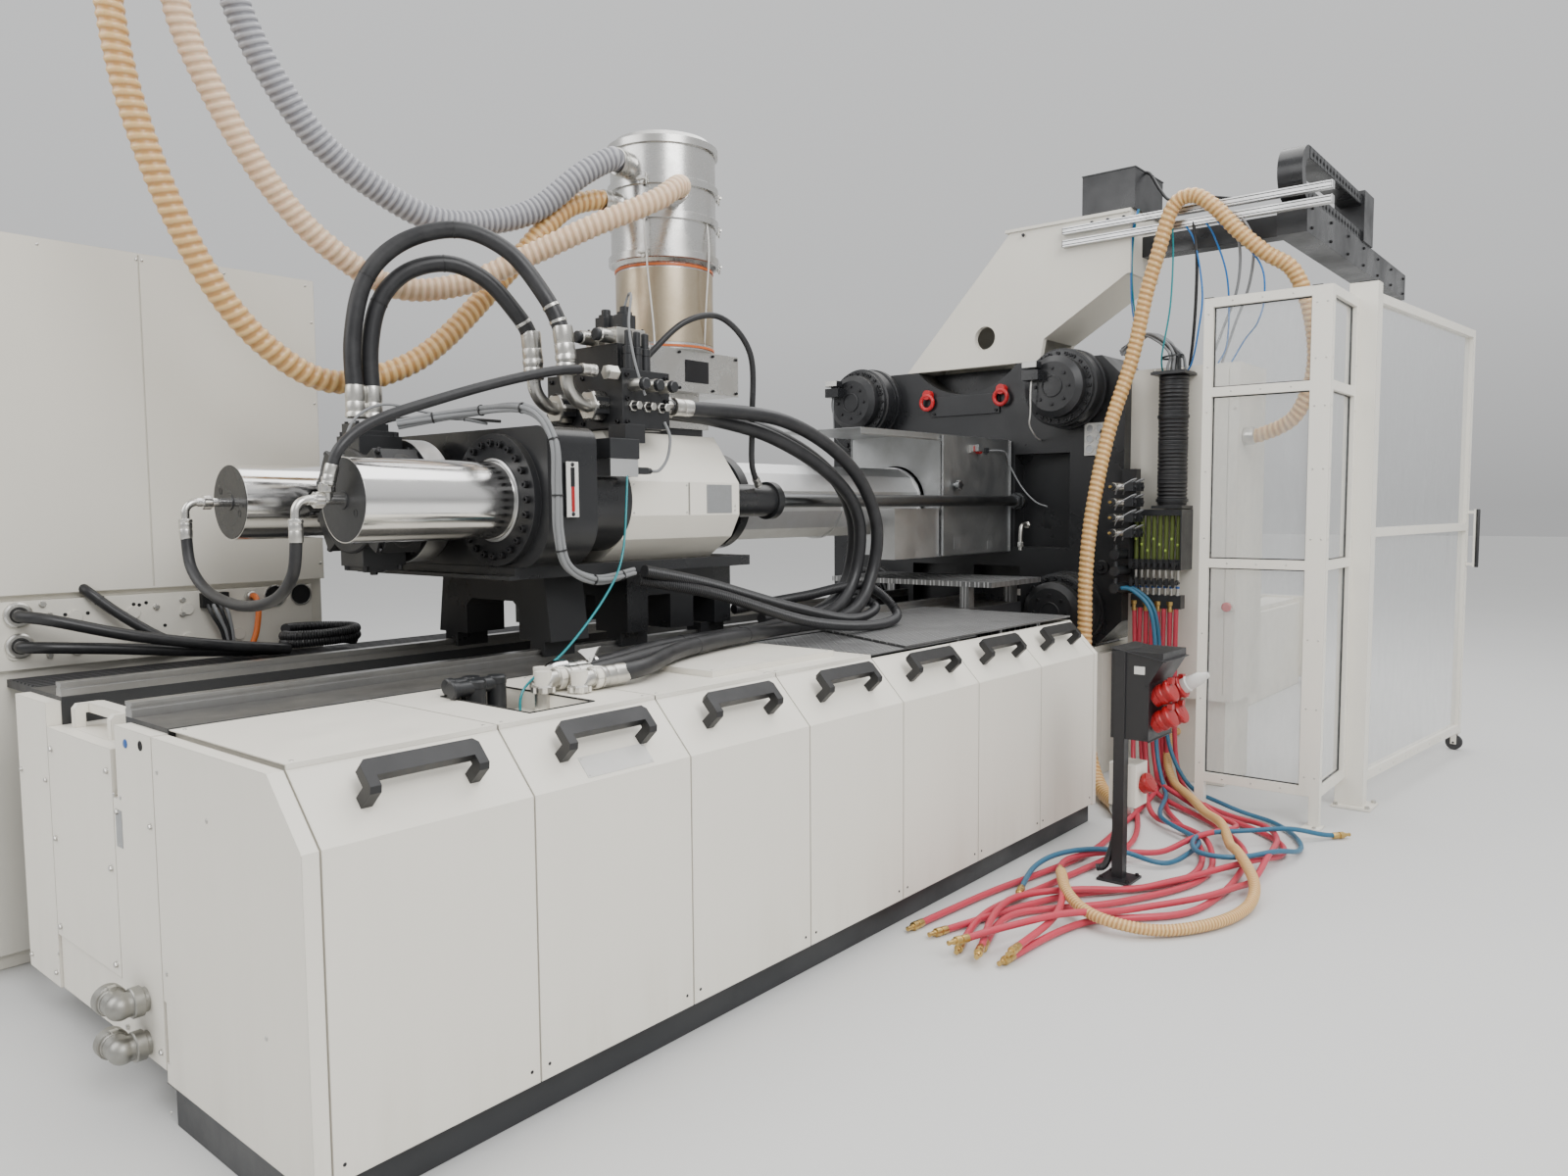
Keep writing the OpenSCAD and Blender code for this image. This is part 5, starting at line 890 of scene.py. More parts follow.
def deck_trim():
    """Polished bent tube with its clamp, strap tag, edge seal, deck screws and the thin air tube."""
    steel, dark, pale = shells(3)
    a = np.linspace(0, np.pi / 2, 11)
    bend = np.stack([1110 + 70 - 70 * np.cos(a), 0 * a - 830, 1142 - 70 + 70 * np.sin(a)], 1)
    steel.tube(np.concatenate([[[1110, -830, 1030]], bend, [[1205, -830, 1142]]]), 31.5, 24)
    hoop(steel, (1330, -820, 1137), (1, 0.03, 0), [(32, 0), (34.5, 0), (34.5, 14), (32, 14)], 32)
    steel.block((1330, -828, 1168), (1346, -812, 1180))
    steel.put("deck_bent_tube", chrome, "machine")
    domes(pale, [(x, y, 1085) for i in range(4) for x in (75 + i * 600, 615 + i * 600) for y in (-1205, -600)
        if not (800 < x < 1060)], UP, 6, 2.4)
    domes(pale, [(x, y, 1107) for x in (1640, 2310) for y in (-1108, -646)], UP, 6, 2.4)
    pale.put("deck_screws", zinc, "machine")
    for lo, hi in (((803, -1166, 1083), (807, -705, 1089)), ((1048, -1166, 1083), (1052, -705, 1089)),
            ((803, -1166, 1083), (1052, -1162, 1089)), ((803, -709, 1083), (1052, -705, 1089))):
        dark.block(lo, hi)
    dark.put("opening_seal", seal_black, "machine", 1.5)
    tag = Shell()
    grid = [[(1290 + 62 * t, -835 + 34 * s * (1 - 0.6 * t), 1172 + 20 * math.sin(3 * t + s) + 14 * t)
        for s in (-1, -0.3, 0.4, 1)] for t in np.linspace(0, 1, 7)]
    grid = np.array(grid)
    tag.skin(np.concatenate([grid, grid[:, ::-1] - [0, 0, 1.6]], 1))
    tag.put("strap_tag", plug_white, "machine")
    piece = cable("air_line", [[1690, -600, 1985], [1660, -660, 1900], [1620, -700, 1720], [1560, -735, 1500],
        [1440, -770, 1360], [1240, -800, 1200], [1060, -840, 1120], [1010, -850, 1075], [1005, -850, 1010]],
        4.2, air_teal, None)
    bends(piece)


# ---------------------------------------------------------------- injection unit
def housing_trim():
    """Screw rings of both glands, bright scraper rings, corner screws, level gauge and plunger end faces."""
    screws, bright, gauge, red, dark = shells(5)
    for s in (-1, 1):
        sockets(screws, ring_of((1239, s * PLUNGER_Y, AXIS_Z), 205, 24), BACK, 13.6, 17.5)
        hoop(bright, (1239, s * PLUNGER_Y, AXIS_Z), BACK,
            [(141, -5), (151.5, -5), (151.5, 3), (147, 5), (141, 5)], 64)
    sockets(screws, [(1267, y * 498, 1471 + z) for y in (-1, 1) for z in (60, 440)], BACK, 18.6, 19.5)
    sockets(screws, ring_of((1109, 0, AXIS_Z), 204, 16), BACK, 10.6, 13.5)
    screws.put("housing_screws", screw_dark, "unit")
    hoop(bright, (1109, 0, AXIS_Z), AHEAD, [(227, 0), (231.5, 2), (231.5, 88), (227, 90)], 72)
    bright.put("scraper_rings", machined, "unit")
    gauge.block((1332, -709, 1652), (1386, -704, 1848))
    gauge.put("gauge_frame", plug_white, "unit", 1.5)
    red.block((1352, -710.5, 1672), (1366, -708.5, 1760))
    red.put("gauge_column", socket_red, "unit")
    dark.block((1350, -710, 1760), (1368, -708.5, 1828))
    domes(dark, [(1359, -709, 1663), (1359, -709, 1838)], NEAR, 8, 4)
    dark.put("gauge_screws", screw_dark, "unit")
    ends, holes = shells(2)
    for s in (-1, 1):
        ends.turned((664, s * PLUNGER_Y, AXIS_Z), BACK, [(137, 0), (136, 1.2), (30, 1.4), (29, 5), (20, 5)],
            64)
        for a in (30, 210):
            c, d = cos_sin(a)
            hoop(holes, (664, s * PLUNGER_Y + 85 * c, AXIS_Z + 85 * d), BACK,
                [(9, 0.6), (13, 0.6), (13, 2.2), (9, 2.2)], 24)
    ends.put("plunger_faces", casting, "injector")
    holes.put("plunger_hole_rims", screw_dark, "injector")


def motor_trim():
    """Screws of the six cylinder heads, ribs of the crankcase, ring bolts and cables of the port block."""
    screws, ribs, bright = shells(3)
    for i in range(6):
        a = math.radians(i * 60)
        out = np.array([0, -math.sin(a), math.cos(a)])
        wide = np.array([0, math.cos(a), math.sin(a)])
        for u in (16, 154):
            for v in (-62, 62):
                sockets(screws, [np.array([910 + u, 0, AXIS_Z]) + wide * v + out * 236], out, 11.6, 17.5)
        spot = np.array([910 + 85, 0, AXIS_Z])
        ribs.turned(spot + out * 254, out, [(44, 0), (44, 5), (38, 8), (20, 9)], 32)
        screws.turned(spot + out * 262, out, [(13, 0), (14, 1), (14, 9), (11, 11)], 6)
    hoop(ribs, (900, 0, AXIS_Z), AHEAD, [(181, 0), (190, 3), (190, 14), (181, 17)], 64)
    sockets(screws, ring_of((900, 0, AXIS_Z), 150, 12, 15), BACK, 9, 11)
    bright.turned((880, 0, AXIS_Z), BACK, [(78, 0), (80, 2), (80, 10), (70, 13), (30, 14)], 48)
    screws.put("motor_screws", screw_dark, "unit")
    ribs.put("motor_caps", casting, "unit")
    bright.put("motor_cap", machined, "unit")
    sockets_top = Shell()
    sockets(sockets_top, [(x, y, 1997) for x in (928, 1030) for y in (-38, 38)], UP, 7, 8)
    sockets_top.put("port_screws", screw_dark, "unit")
    cable("motor_cable_1", [[1050, 20, 1980], [1090, 60, 2010], [1160, 20, 2030], [1230, -200, 2020],
        [1268, -420, 2000]], 6, cable_black, "unit")
    cable("motor_cable_2", [[880, -40, 1830], [840, -90, 1880], [870, -120, 2000], [980, -130, 2060],
        [1130, -160, 2040], [1262, -350, 1995]], 5, cable_grey, "unit", clips=2)


def block_trim():
    """Screws, knobs, silver valve bodies, small fittings and cables of the valve block and its light box."""
    x, z = 1710.0, 1995.0
    black, silver, bolts, small = shells(4)
    sockets(bolts, [(x + u, -588, z + v) for u in (22, 228) for v in (20, 110, 200)], NEAR, 9, 10)
    sockets(bolts, [(x, y, z + v) for y in (-560, -358, -166) for v in (22, 200)], BACK, 9, 10)
    sockets(bolts, [(x + 250, y, z + v) for y in (-560, -420, -280, -166) for v in (24, 180)], AHEAD, 9, 10)
    for i in range(3):
        u = x + 50 + i * 75
        silver.turned((u, -588, z + 163), NEAR, [(25, 0), (25, 62), (23, 66)], 24)
        black.turned((u, -654, z + 163), NEAR, [(21, 0), (22, 2), (22, 16), (18, 19)], 24)
        silver.turned((u, -588, z + 83), NEAR, [(22, 0), (22.5, 1), (22.5, 10), (18, 12), (17, 42), (14, 45)],
            6)
        black.turned((x + 60 + i * 55, -560 + i * 12, z + 223), UP,
            [(21, 0), (21, 60), (19, 62), (22, 64), (22, 90), (15, 93), (15, 150), (10, 154)], 24)
    for i in range(2):
        y = -465 + i * 110
        silver.block((x + 55, y - 37, z + 330), (x + 205, y + 37, z + 396))
        silver.turned((x + 55, y, z + 362), BACK, [(28, 0), (28, 60), (25, 64)], 28)
        black.turned((x - 9, y, z + 362), BACK, [(22, 0), (24, 2), (24, 16), (20, 20), (8, 21)], 28)
        black.block((x + 95, y - 26, z + 392), (x + 165, y + 26, z + 452))
        black.turned((x + 130, y, z + 452), UP, [(19, 0), (19, 30), (15, 34)], 24)
        sockets(bolts, [(x + 62 + 136 * a, y - 28 + 56 * b, z + 396) for a in (0, 1) for b in (0, 1)], UP, 5,
            6)
    for i in range(4):
        y = -540 + i * 100
        silver.turned((x + 250, y, z + 103), AHEAD, [(37, 0), (39, 2), (39, 34), (36, 40)], 6)
    black.put("valve_knobs", fitting_black, "unit")
    silver.put("valve_bodies", zinc, "unit", 1.5)
    bolts.put("block_screws", screw_dark, "unit")
    # light valve box: silver case on a dark carrier, with its connector
    small.block((1556, -688, 1801), (1694, -600, 1868))
    small.put("valve_case", aluminium, "unit", 2)
    lid = Shell()
    lid.block((1552, -692, 1868), (1698, -600, 1942))
    lid.block((1700, -676, 1812), (1760, -640, 1838))
    lid.turned((1760, -658, 1825), AHEAD, [(12, 0), (12, 22), (7, 30)], 20)
    lid.put("valve_case_lid", fitting_black, "unit", 2)
    cable("valve_cable", [[1786, -658, 1825], [1830, -660, 1830], [1880, -655, 1880], [1900, -650, 1960],
        [1890, -630, 2020]], 6, cable_grey, "unit")
    cable("valve_wire", [[x + 130, -465, z + 486], [x + 130, -490, z + 530], [x + 60, -580, z + 500],
        [x + 10, -620, z + 380], [x + 20, -640, z + 240], [x + 60, -650, z + 120]], 5, cable_grey, "unit")
    # pilot line that arcs from behind the block to the rod cylinder
    path = flowing([[x + 254, -340, z + 210], [x + 330, -400, z + 330], [x + 470, -470, z + 470],
        [x + 640, -520, z + 500], [x + 800, -540, z + 360], [x + 830, -520, z + 80], [x + 850, -500, z - 120],
        [x + 930, -470, z - 215]], 10)
    line = Shell().tube(path, 13, 16)
    line.put("pilot_line", hose_black, "unit", slot="hose_black")
    ends = Shell()
    ferrule(ends, path[0] + [-30, 0, -24], path[2] - path[0], 17, 60)
    ferrule(ends, path[-1], path[-4] - path[-1], 17, 56)
    ends.put("pilot_ends", zinc, "unit")


def cover_seams():
    """Screws, blank plate and seam strip of the faceted drive cover."""
    screws, plate, dark = shells(3)
    domes(screws, [(2345, -588, 1690), (2345, -588, 1672)], NEAR, 5, 2.2)
    domes(screws, [(x, -588, z) for x in (1760, 2052) for z in (1665, 1775)], NEAR, 5, 2.2)
    plate.block((2170, -589.4, 1660), (2325, -588, 1780))
    plate.put("drive_cover_plate", plate_grey, "unit", 0.4)
    screws.put("drive_cover_screws", zinc, "unit")
    for u in (0, 1):
        dark.block((2062 + u * 6, -588.6, 1655), (2064 + u * 6, -587.9, 1786))
    dark.put("drive_cover_seam", seal_black, "unit")


def hopper_trim():
    """Glass band with pellets behind, orange rim, clamp latches, lid knob and the thin white cables."""
    (x, r), base = HOPPER, HOPPER_FOOT
    glass, rim, latch, dark = shells(4)
    hoop(glass, (x, 0, base + 385), UP, [(r * 0.92 - 2, 0), (r * 0.92 + 2.5, 0), (r * 0.92 + 2.5, 330),
        (r * 0.92 - 2, 330)], 72)
    glass.put("hopper_window", pellet_glass, "unit")
    for z in (base + 362, base + 722):
        hoop(rim, (x, 0, z), UP, [(r * 0.92 - 2, 0), (r * 0.92 + 6, 1), (r * 0.92 + 6, 11),
            (r * 0.92 - 2, 12)], 72)
    rim.put("hopper_rims", orange_rim, "unit")
    for z in (base + 771, base + 941, base + 1091):
        for turn in (205, 325, 85):
            c, s = cos_sin(turn)
            spot = np.array([x + (r + 12) * c, (r + 12) * s, z - 12])
            out = np.array([c, s, 0])
            latch.turned(spot, out, [(12, 0), (12, 8), (8, 12)], 6)
            latch.turned(spot + out * 14 + [-s * 22, c * 22, 12], (s, -c, 0), [(5, 0), (5, 44)], 12)
            latch.turned(spot + out * 14 + [-s * 22, c * 22, 0], UP, [(4, -14), (4, 36)], 10)
    latch.put("hopper_latches", zinc, "unit")
    sockets(dark, [(x + u, -190, base + v) for u in (-262, -100, 120, 282) for v in (180, 340)], NEAR, 7, 8)
    dark.block((x - 60, -194, base + 210), (x + 90, -190, base + 310))
    dark.put("slide_gate_screws", screw_dark, "unit")
    for k, (turn, height, stub) in enumerate(STUBS):
        c, s = cos_sin(turn)
        out = np.array([c, s, 0])
        clamp = Shell()
        for d in (64, 92):
            hoop(clamp, np.array([x, 0, height]) + out * (r + d - 26), out,
                [(stub - 1, 0), (stub + 3, 1), (stub + 3, 12), (stub - 1, 13)], 40)
        clamp.put(f"stub_clamp_{k + 1}", zinc, "unit")
    cable("hopper_wire_1", [[x - 200, -120, base + 1000], [x - 255, -140, base + 900],
        [x - 250, -150, base + 700], [x - 235, -170, base + 420], [x - 250, -185, base + 250]], 4, plug_white,
        "unit")
    cable("hopper_wire_2", [[x + 40, -236, base + 960], [x + 30, -262, base + 800],
        [x + 20, -250, base + 560], [x + 40, -215, base + 360]], 4, plug_white, "unit")


# ---------------------------------------------------------------- clamp end, guards and cabinets
def pipe_skin():
    """Galvanised skin of the two screwed elbows: legs, cast corner and rolled collars."""
    shell = Shell()
    for z in PIPE_HEIGHTS:
        shell.turned((44, PIPE_Y, z), BACK, [(34.8, 0), (34.8, 112)], 36)
        shell.turned((-12, PIPE_Y, z), BACK, [(40, 0), (43, 2), (43, 27), (40, 30)], 36)
        a = np.linspace(0.02, np.pi - 0.02, 17)
        shell.turned((-68, PIPE_Y, z), (0, 1, 0), [(37.2 * math.sin(t), -37.2 * math.cos(t)) for t in a], 36)
        shell.turned((-68, PIPE_Y, z), (0, 1, 0), [(34.8, 0), (34.8, 60), (40, 60), (43, 63), (43, 91),
            (38, 92.5)], 36)
    shell.put("pipe_skin", galvanised, "machine")


def purge_trim():
    """Star knob, interlock with its switch box and cable, folded edges' screws and the bare sticker place."""
    knob, red, dark, bright, pale = shells(5)
    turn = np.linspace(0, 2 * np.pi, 60, endpoint=False)
    lobes = 27 + 6 * np.cos(5 * turn)
    ring = np.stack([4600 + lobes * np.cos(turn), 0 * turn, 1810 + lobes * np.sin(turn)], 1)
    centre = np.array([4600, 0, 1810.0])
    knob.skin([(ring - centre) * k + centre + [0, y, 0] for k,
        y in ((0.8, -357), (1, -361), (1.02, -372), (0.93, -380), (0.5, -383))])
    knob.put("star_knob", grip_black, "purge_slide")
    red.turned((4862, -337, 2024), NEAR, [(20, 0), (20, 26), (17, 30)], 28)
    red.block((4800, -352, 2018), (4832, -338, 2052))
    red.put("interlock", socket_red, "purge_slide", 1)
    bright.block((4764, -350, 2008), (4798, -338, 2056))
    domes(bright, [(4458 + 823 * u, -337, z) for u in (0, 1) for z in (1420, 1740, 2080)], NEAR, 5, 2.2)
    bright.put("purge_screws", zinc, "purge_slide")
    pale.block((4590, -337.9, 1424), (4668, -337, 1500))
    pale.block((5000, -337.9, 1410), (5050, -337, 1462))
    pale.put("purge_plates", plate_grey, "purge_slide")
    cable("interlock_cable", [[4990, -352, 2030], [5150, -356, 2034], [5220, -352, 2010], [5262, -360, 1930],
        [5284, -430, 1800], [5290, -520, 1710], [5292, -604, 1677]], 5, cable_grey, "machine")
    dark.block((4940, -352, 2016), (4990, -338, 2046))
    dark.put("switch_box", fitting_black, "machine", 1)


def platen_trim():
    """Bosses, hexagon screws, blank tag plates with their cables and fittings on the platen's face."""
    boss, bolts, tags, bright = shells(4)
    for y in (-970, 970):
        for z in (1300, 2130):
            boss.turned((5300, y, z), BACK, [(46, 0), (44, 10), (40, 13)], 40)
            hexes(bolts, [(5288, y, z)], BACK, 16, 14)
    boss.block((5286, -260, 2290), (5300, 260, 2420))
    sockets(bolts, [(5286, y, z) for y in (-235, 235) for z in (2310, 2400)], BACK, 10, 11)
    for y in (-752, 752):
        for z in (AXIS_Z - 689, AXIS_Z + 689):
            sockets(bolts, ring_of((5114, y, z), 206, 24), BACK, 11.6, 13)
            hoop(boss, (5032, y, z), BACK, [(60, 0), (66, 2), (66, 6), (60, 8)], 48)
            hexes(bolts, ring_of((5032, y, z), 108, 8), BACK, 9, 9)
    boss.put("platen_bosses", casting, "machine", 1.5)
    bolts.put("platen_screws", screw_dark, "machine")
    for y in (-752, 752):
        tags.block((4956, y + 68, 2519), (4959, y + 162, 2553))
        cable(f"sensor_cable_{'near' if y < 0 else 'far'}",
            [[4990, y + 115, 2440], [4985, y + 118, 2370], [5010, y + 130, 2250], [5060, y + 160, 2180],
            [5200, y + 190, 2120], [5292, y + 200, 2100]], 4.5, plug_white if y < 0 else cable_grey,
            "machine")
    tags.block((5020, -560, 1126), (5023, -455, 1166))
    tags.put("tag_plates", plug_white, "machine", 0.4)
    bright.block((5286, -985, 1990), (5290, -850, 2190))
    dials = Shell()
    for spot in [(5286, -885 - i * 64, 2155 - j * 62) for i in range(2) for j in range(3)]:
        hoop(bright, spot, BACK, [(21, 0), (26, 0), (26, 7), (21, 7)], 32)
        dials.turned(spot, BACK, [(21, 0), (21, 3)], 32)
    bright.put("gauge_plate", plug_white, "machine", 0.8)
    dials.put("gauge_dials", plate_grey, "machine")
    pipe = Shell()
    pipe.tube(flowing([[5296, -470, 1560], [5250, -470, 1562], [5205, -470, 1556], [5190, -470, 1500],
        [5190, -470, 1400]], 8), 13, 16)
    pipe.turned((5190, -470, 1420), UP, [(18, 0), (20, 2), (20, 30), (17, 34)], 6)
    pipe.turned((5292, -470, 1560), BACK, [(22, 0), (24, 2), (24, 22), (20, 26)], 6)
    pipe.put("platen_pipe", zinc, "machine")


def water_trim():
    """Valve rows, flow tubes with their floats and lever rows, tails and hose clips beside the platen."""
    silver, black, nipples = shells(3)
    for j in range(4):
        z = 1520 + j * 90
        silver.turned((5246, -1150, z), BACK, [(20, 0), (23, 4), (23, 70), (18, 74), (18, 82), (23.5, 86),
            (23.5, 150), (18, 156), (18, 170), (24, 174), (24, 225), (16, 236)], 24)
        for i in range(2):
            x = 5180 - i * 110
            silver.turned((x, -1150, z), NEAR, [(19, 0), (19, 56), (16, 60)], 20)
            black.block((x - 27, -1262, z - 26), (x + 27, -1208, z + 26))
            black.turned((x, -1262, z), NEAR, [(12, 0), (12, 8), (8, 11)], 20)
            path = [[x, -1235, z + 20], [x - 20, -1280, z + 44], [x - 70, -1270, z + 36],
                [x - 90, -1200, z - 10], [x - 60, -1170, z - 44]]
            cable(f"valve_lead_{j}_{i}", path, 3.6, cable_grey, "machine", 6, 0, 8)
        nipples.turned((5008, -1150, z), BACK, [(9, 0), (12, 1), (12, 12), (8, 14), (8, 26), (10, 27),
            (7, 36)], 12)
        nipples.turned((5230, -1173, z), NEAR, [(7, 0), (10, 1), (10, 10), (6, 12), (8, 24), (5, 30)], 12)
    silver.put("water_valve_bodies", zinc, "machine")
    black.put("water_valve_coils", fitting_black, "machine", 1.5)
    nipples.put("water_nipples", brass, "machine")
    glass, floats, levers, clips, tails = shells(5)
    for i in range(8):
        y = -1458 + i * 36
        glass.turned((5250, y, 1361), UP, [(12.6, 0), (12.6, 258)], 20)
        high = 1440 + 40 * math.sin(i * 2.1)
        floats.turned((5237, y, high), UP, [(4, 0), (7, 3), (7, 12), (4, 15)], 12)
        for k in (0, 1):
            z = 1334 - k * 110
            levers.turned((5252, y, z), BACK, [(13, 0), (13, 30), (9, 34), (9, 62), (13, 64), (13, 76),
                (9, 80)], 16)
            levers.block((5166, y - 8, z - 24), (5178, y + 8, z + 30))
        tails.turned((5250, y, 1148), UP, [(12, 0), (12, 18), (9.6, 20), (9.6, 60), (12, 62), (12, 84),
            (9.6, 86), (9.6, 150)], 16)
        clips.turned((5250, y, 1190), UP, [(11.5, 0), (12.4, 1), (12.4, 12), (11.5, 13)], 16)
    glass.put("flow_tubes", yellow_green_glass, "machine")
    floats.put("flow_floats", yellow_green, "machine")
    levers.put("flow_levers", grip_black, "machine")
    tails.put("hose_tails", zinc, "machine")
    clips.put("tail_clips", blue_signal, "machine")
    ends = Shell()
    for y in (-1200, -1272, -1344, -1416):
        ends.turned((5250, y, 1112), (0, 0, -1), [(19, 0), (21, 2), (21, 22), (16, 26), (16, 44), (17.5, 46),
            (17.5, 60), (15, 62)], 18)
    ends.put("hose_unions", brass, "machine")


def conduit_trim():
    """Ribs of the conduit, the strapped cable bundle out of its top and the clamp plate's screws."""
    x, y = 5305.0, -1395.0
    rings = Shell()
    rings.tube([[x, y, z] for z in np.linspace(1680, 2438, 40)], 86, 40, None, 22, 7)
    rings.put("conduit_ribs", black_spiral, "machine")
    for k in range(11):
        a = k * 2.4
        r = 12 + 4.6 * k
        spot = np.array([x + r * math.cos(a), y + r * math.sin(a), 2430])
        lean = np.array([0.35 * (x - spot[0]), 0.55 * (y - spot[1]), 0])
        path = [spot, spot + [0, 0, 60], spot + lean * 0.6 + [0, 0, 130],
            spot + lean + [8 * math.sin(k), 40 + 5 * k, 215],
            spot + lean + [10 * math.sin(k * 3), 150 + 6 * k, 262],
            [x + 20, y + 300 + 4 * k, 2590 + 12 * (k % 4)]]
        cable(f"bundle_cable_{k + 1}", path, 9 if k % 3 else 7, cable_black if k % 4 == 3 else cable_grey,
            "machine", 6, 0, 10)
    plates, ties = shells(2)
    hoop(ties, (x - 12, y + 6, 2540), (0, 0.1, 1), [(60, 0), (64, 0), (64, 12), (60, 12)], 36)
    ties.block((x - 100, y - 92, 2455), (x + 90, y + 92, 2461))
    hexes(plates, [(x + u, y + v, 2461) for u in (-88, 78) for v in (-80, 80)], UP, 8, 8)
    ties.put("bundle_strap", fitting_black, "machine", 1)
    plates.put("conduit_screws", zinc, "machine")
    sides = Shell()
    for z in (2190, 1700):
        hoop(sides, (x, y, z), UP, [(87, 0), (91, 1), (91, 17), (87, 18)], 48)
    sides.put("conduit_clamps", fitting_black, "machine")


def robot_trim():
    """Links of the energy chain, cables at its open end, skins of both light profiles and black strips of
    painted shade in their slots.
    """
    links, pins, rails, screws = shells(4)
    low, high = BEAM_Z + 180, BEAM_Z + 410
    for k in range(18):
        x = 5522 + 75 * k
        for y in (-2053, -1922):
            face, out = (y, -1) if y < -2000 else (y + 5, 1)
            for z in (low, high):
                links.block((x, y, z + 3), (x + 66, y + 5, z + 67))
                pins.turned((x + 66, face, z + 35), (0, out, 0), [(13, 0), (13, 3), (10, 5)], 16)
    links.put("chain_links", fitting_black, "machine", 1.5)
    pins.put("chain_pins", grip_black, "machine")
    for k, y in enumerate((-2032, -2008, -1984, -1960)):
        path = [[6850, y, high + 35], [6930, y, high + 32], [7000, y + 4, high - 6], [7020, y + 4, low + 130],
            [6990, y, low + 60]]
        cable(f"chain_cable_{k + 1}", path, 8, cable_orange if k % 2 else cable_black, "machine", 6)
    # black strips along the slots: painted shade in the slots' recesses
    for z in (792, 716):
        for v in (-9, -30):
            rails.block((5252.5, -2229, CONSOLE_Z + z + v - 2), (5255, -702, CONSOLE_Z + z + v + 2))
    rails.put("profile_slot_shade", seal_black, "machine")
    caps = Shell()
    for z in (792, 716):
        caps.block((5250, -2234, CONSOLE_Z + z - 41), (5300, -2229.5, CONSOLE_Z + z + 1))
        caps.block((5254.4, -2228, CONSOLE_Z + z - 40.4), (5300.2, -704, CONSOLE_Z + z + 0.4))
    caps.put("profile_skins", aluminium, "machine", 0.8)
    sockets(screws, [(x, -2060, BEAM_Z + v) for x in range(5560, 8100, 420) for v in (36, 144)], NEAR, 9, 9)
    hexes(screws, [(5288, y, z) for y, z in ((-1080, 3400), (-980, 3400), (-880, 3400), (-420, 3400))], BACK,
        9, 9)
    screws.put("robot_screws", screw_dark, "machine")
    lid = Shell()
    lid.block((5306, -1142, 3686), (5754, -801, 3694))
    lid.put("control_lid", fitting_black, "machine", 1.5)
    ring = Shell()
    hoop(ring, (5300, -143, 2784), BACK, [(74, -38), (77, -38), (77, 1.2), (74, 1.2)], 56)
    ring.put("console_hole_rim", cabinet_paint, "machine")
    cable("console_cable", [[5500, -1100, 3700], [5480, -1160, 3680], [5440, -1240, 3560],
        [5420, -1320, 3480], [5420, -1500, 3470], [5460, -1800, 3400]], 9, cable_black, "machine", clips=3)
    cable("air_bundle_1", [[5320, -1160, 2700], [5315, -1130, 2860], [5318, -1118, 3060], [5320, -1122, 3300],
        [5330, -1150, 3440]], 5, air_blue, "machine")
    cable("air_bundle_2", [[5332, -1170, 2690], [5329, -1138, 2850], [5330, -1119, 3060], [5334, -1125, 3300],
        [5345, -1150, 3445]], 5, air_teal, "machine")


def guard_trim():
    """Rivets along the frames, panel seals, base plate bolts, foot bracket, hinge and handle details."""
    rivets, seals, bolts, handle = shells(4)
    for z in (260, 620, 980, 1500, 1860, 2180, 2420, 2700):
        domes(rivets, [(4890, y, z) for y in (-1726, -2265, -2315)], BACK, 5, 2.4)
        domes(rivets, [(x, -2340, z) for x in (4915, 5413)], NEAR, 5, 2.4)
    for y in (-1850, -2000, -2150):
        domes(rivets, [(4890, y, z) for z in (185, 1365, 2285, 2760)], BACK, 5, 2.4)
    rivets.put("guard_rivets", zinc, "machine")
    x = 4913
    for lo, hi in ((210, 1340), (1390, 2260), (2310, 2735)):
        for a, b in (((-2240, lo), (-1751, lo + 6)), ((-2240, hi - 6), (-1751, hi)),
                ((-2240, lo), (-2234, hi)), ((-1757, lo), (-1751, hi))):
            seals.block((x - 3, a[0], a[1]), (x + 7, b[0], b[1]))
        for a, b in (((4940, lo), (5388, lo + 6)), ((4940, hi - 6), (5388, hi)), ((4940, lo), (4946, hi)),
                ((5382, lo), (5388, hi))):
            seals.block((a[0], -2320, a[1]), (b[0], -2310, b[1]))
    seals.put("panel_seals", seal_black, "machine")
    hexes(bolts, [(5488 + u * 80, -2383 + v * 80, 12) for u in (-1, 1) for v in (-1, 1)], UP, 11, 12)
    hexes(bolts, [(4850, y, 8) for y in (-2330, -1750)], UP, 8, 8)
    bolts.put("anchor_bolts", zinc, "machine")
    cap = Shell()
    cap.block((5436, -2435, 2870), (5540, -2338, 2876))
    for y in (-2290, -1751):
        cap.block((4888, y, 2785), (4942, y + 50, 2789))
    cap.put("post_caps", fitting_black, "machine", 1.5)
    a = math.radians(-6)
    along, out = np.array([math.cos(a), math.sin(a), 0]), np.array([math.sin(a), -math.cos(a), 0])
    hinge = np.array([5572, -2383, 0.0])
    dots = Shell()
    for u in np.arange(45, 1930, 236):
        for z in (145, 2760):
            domes(dots, [hinge + along * u + out * 25 + [0, 0, z]], out, 5, 2.4)
    for z in (260, 620, 980, 1500, 1860, 2180, 2500):
        domes(dots, [hinge + along * u + out * 25 + [0, 0, z] for u in (45, 1915)], out, 5, 2.4)
    dots.put("gate_rivets", zinc, "gate")
    grip = hinge + along * 1916 + out * 84 + [0, 0, 1250]
    handle.turned(grip, UP, [(10, 0), (13, 4), (13, 384), (10, 390)], 20)
    handle.put("gate_grip", grip_black, "gate")


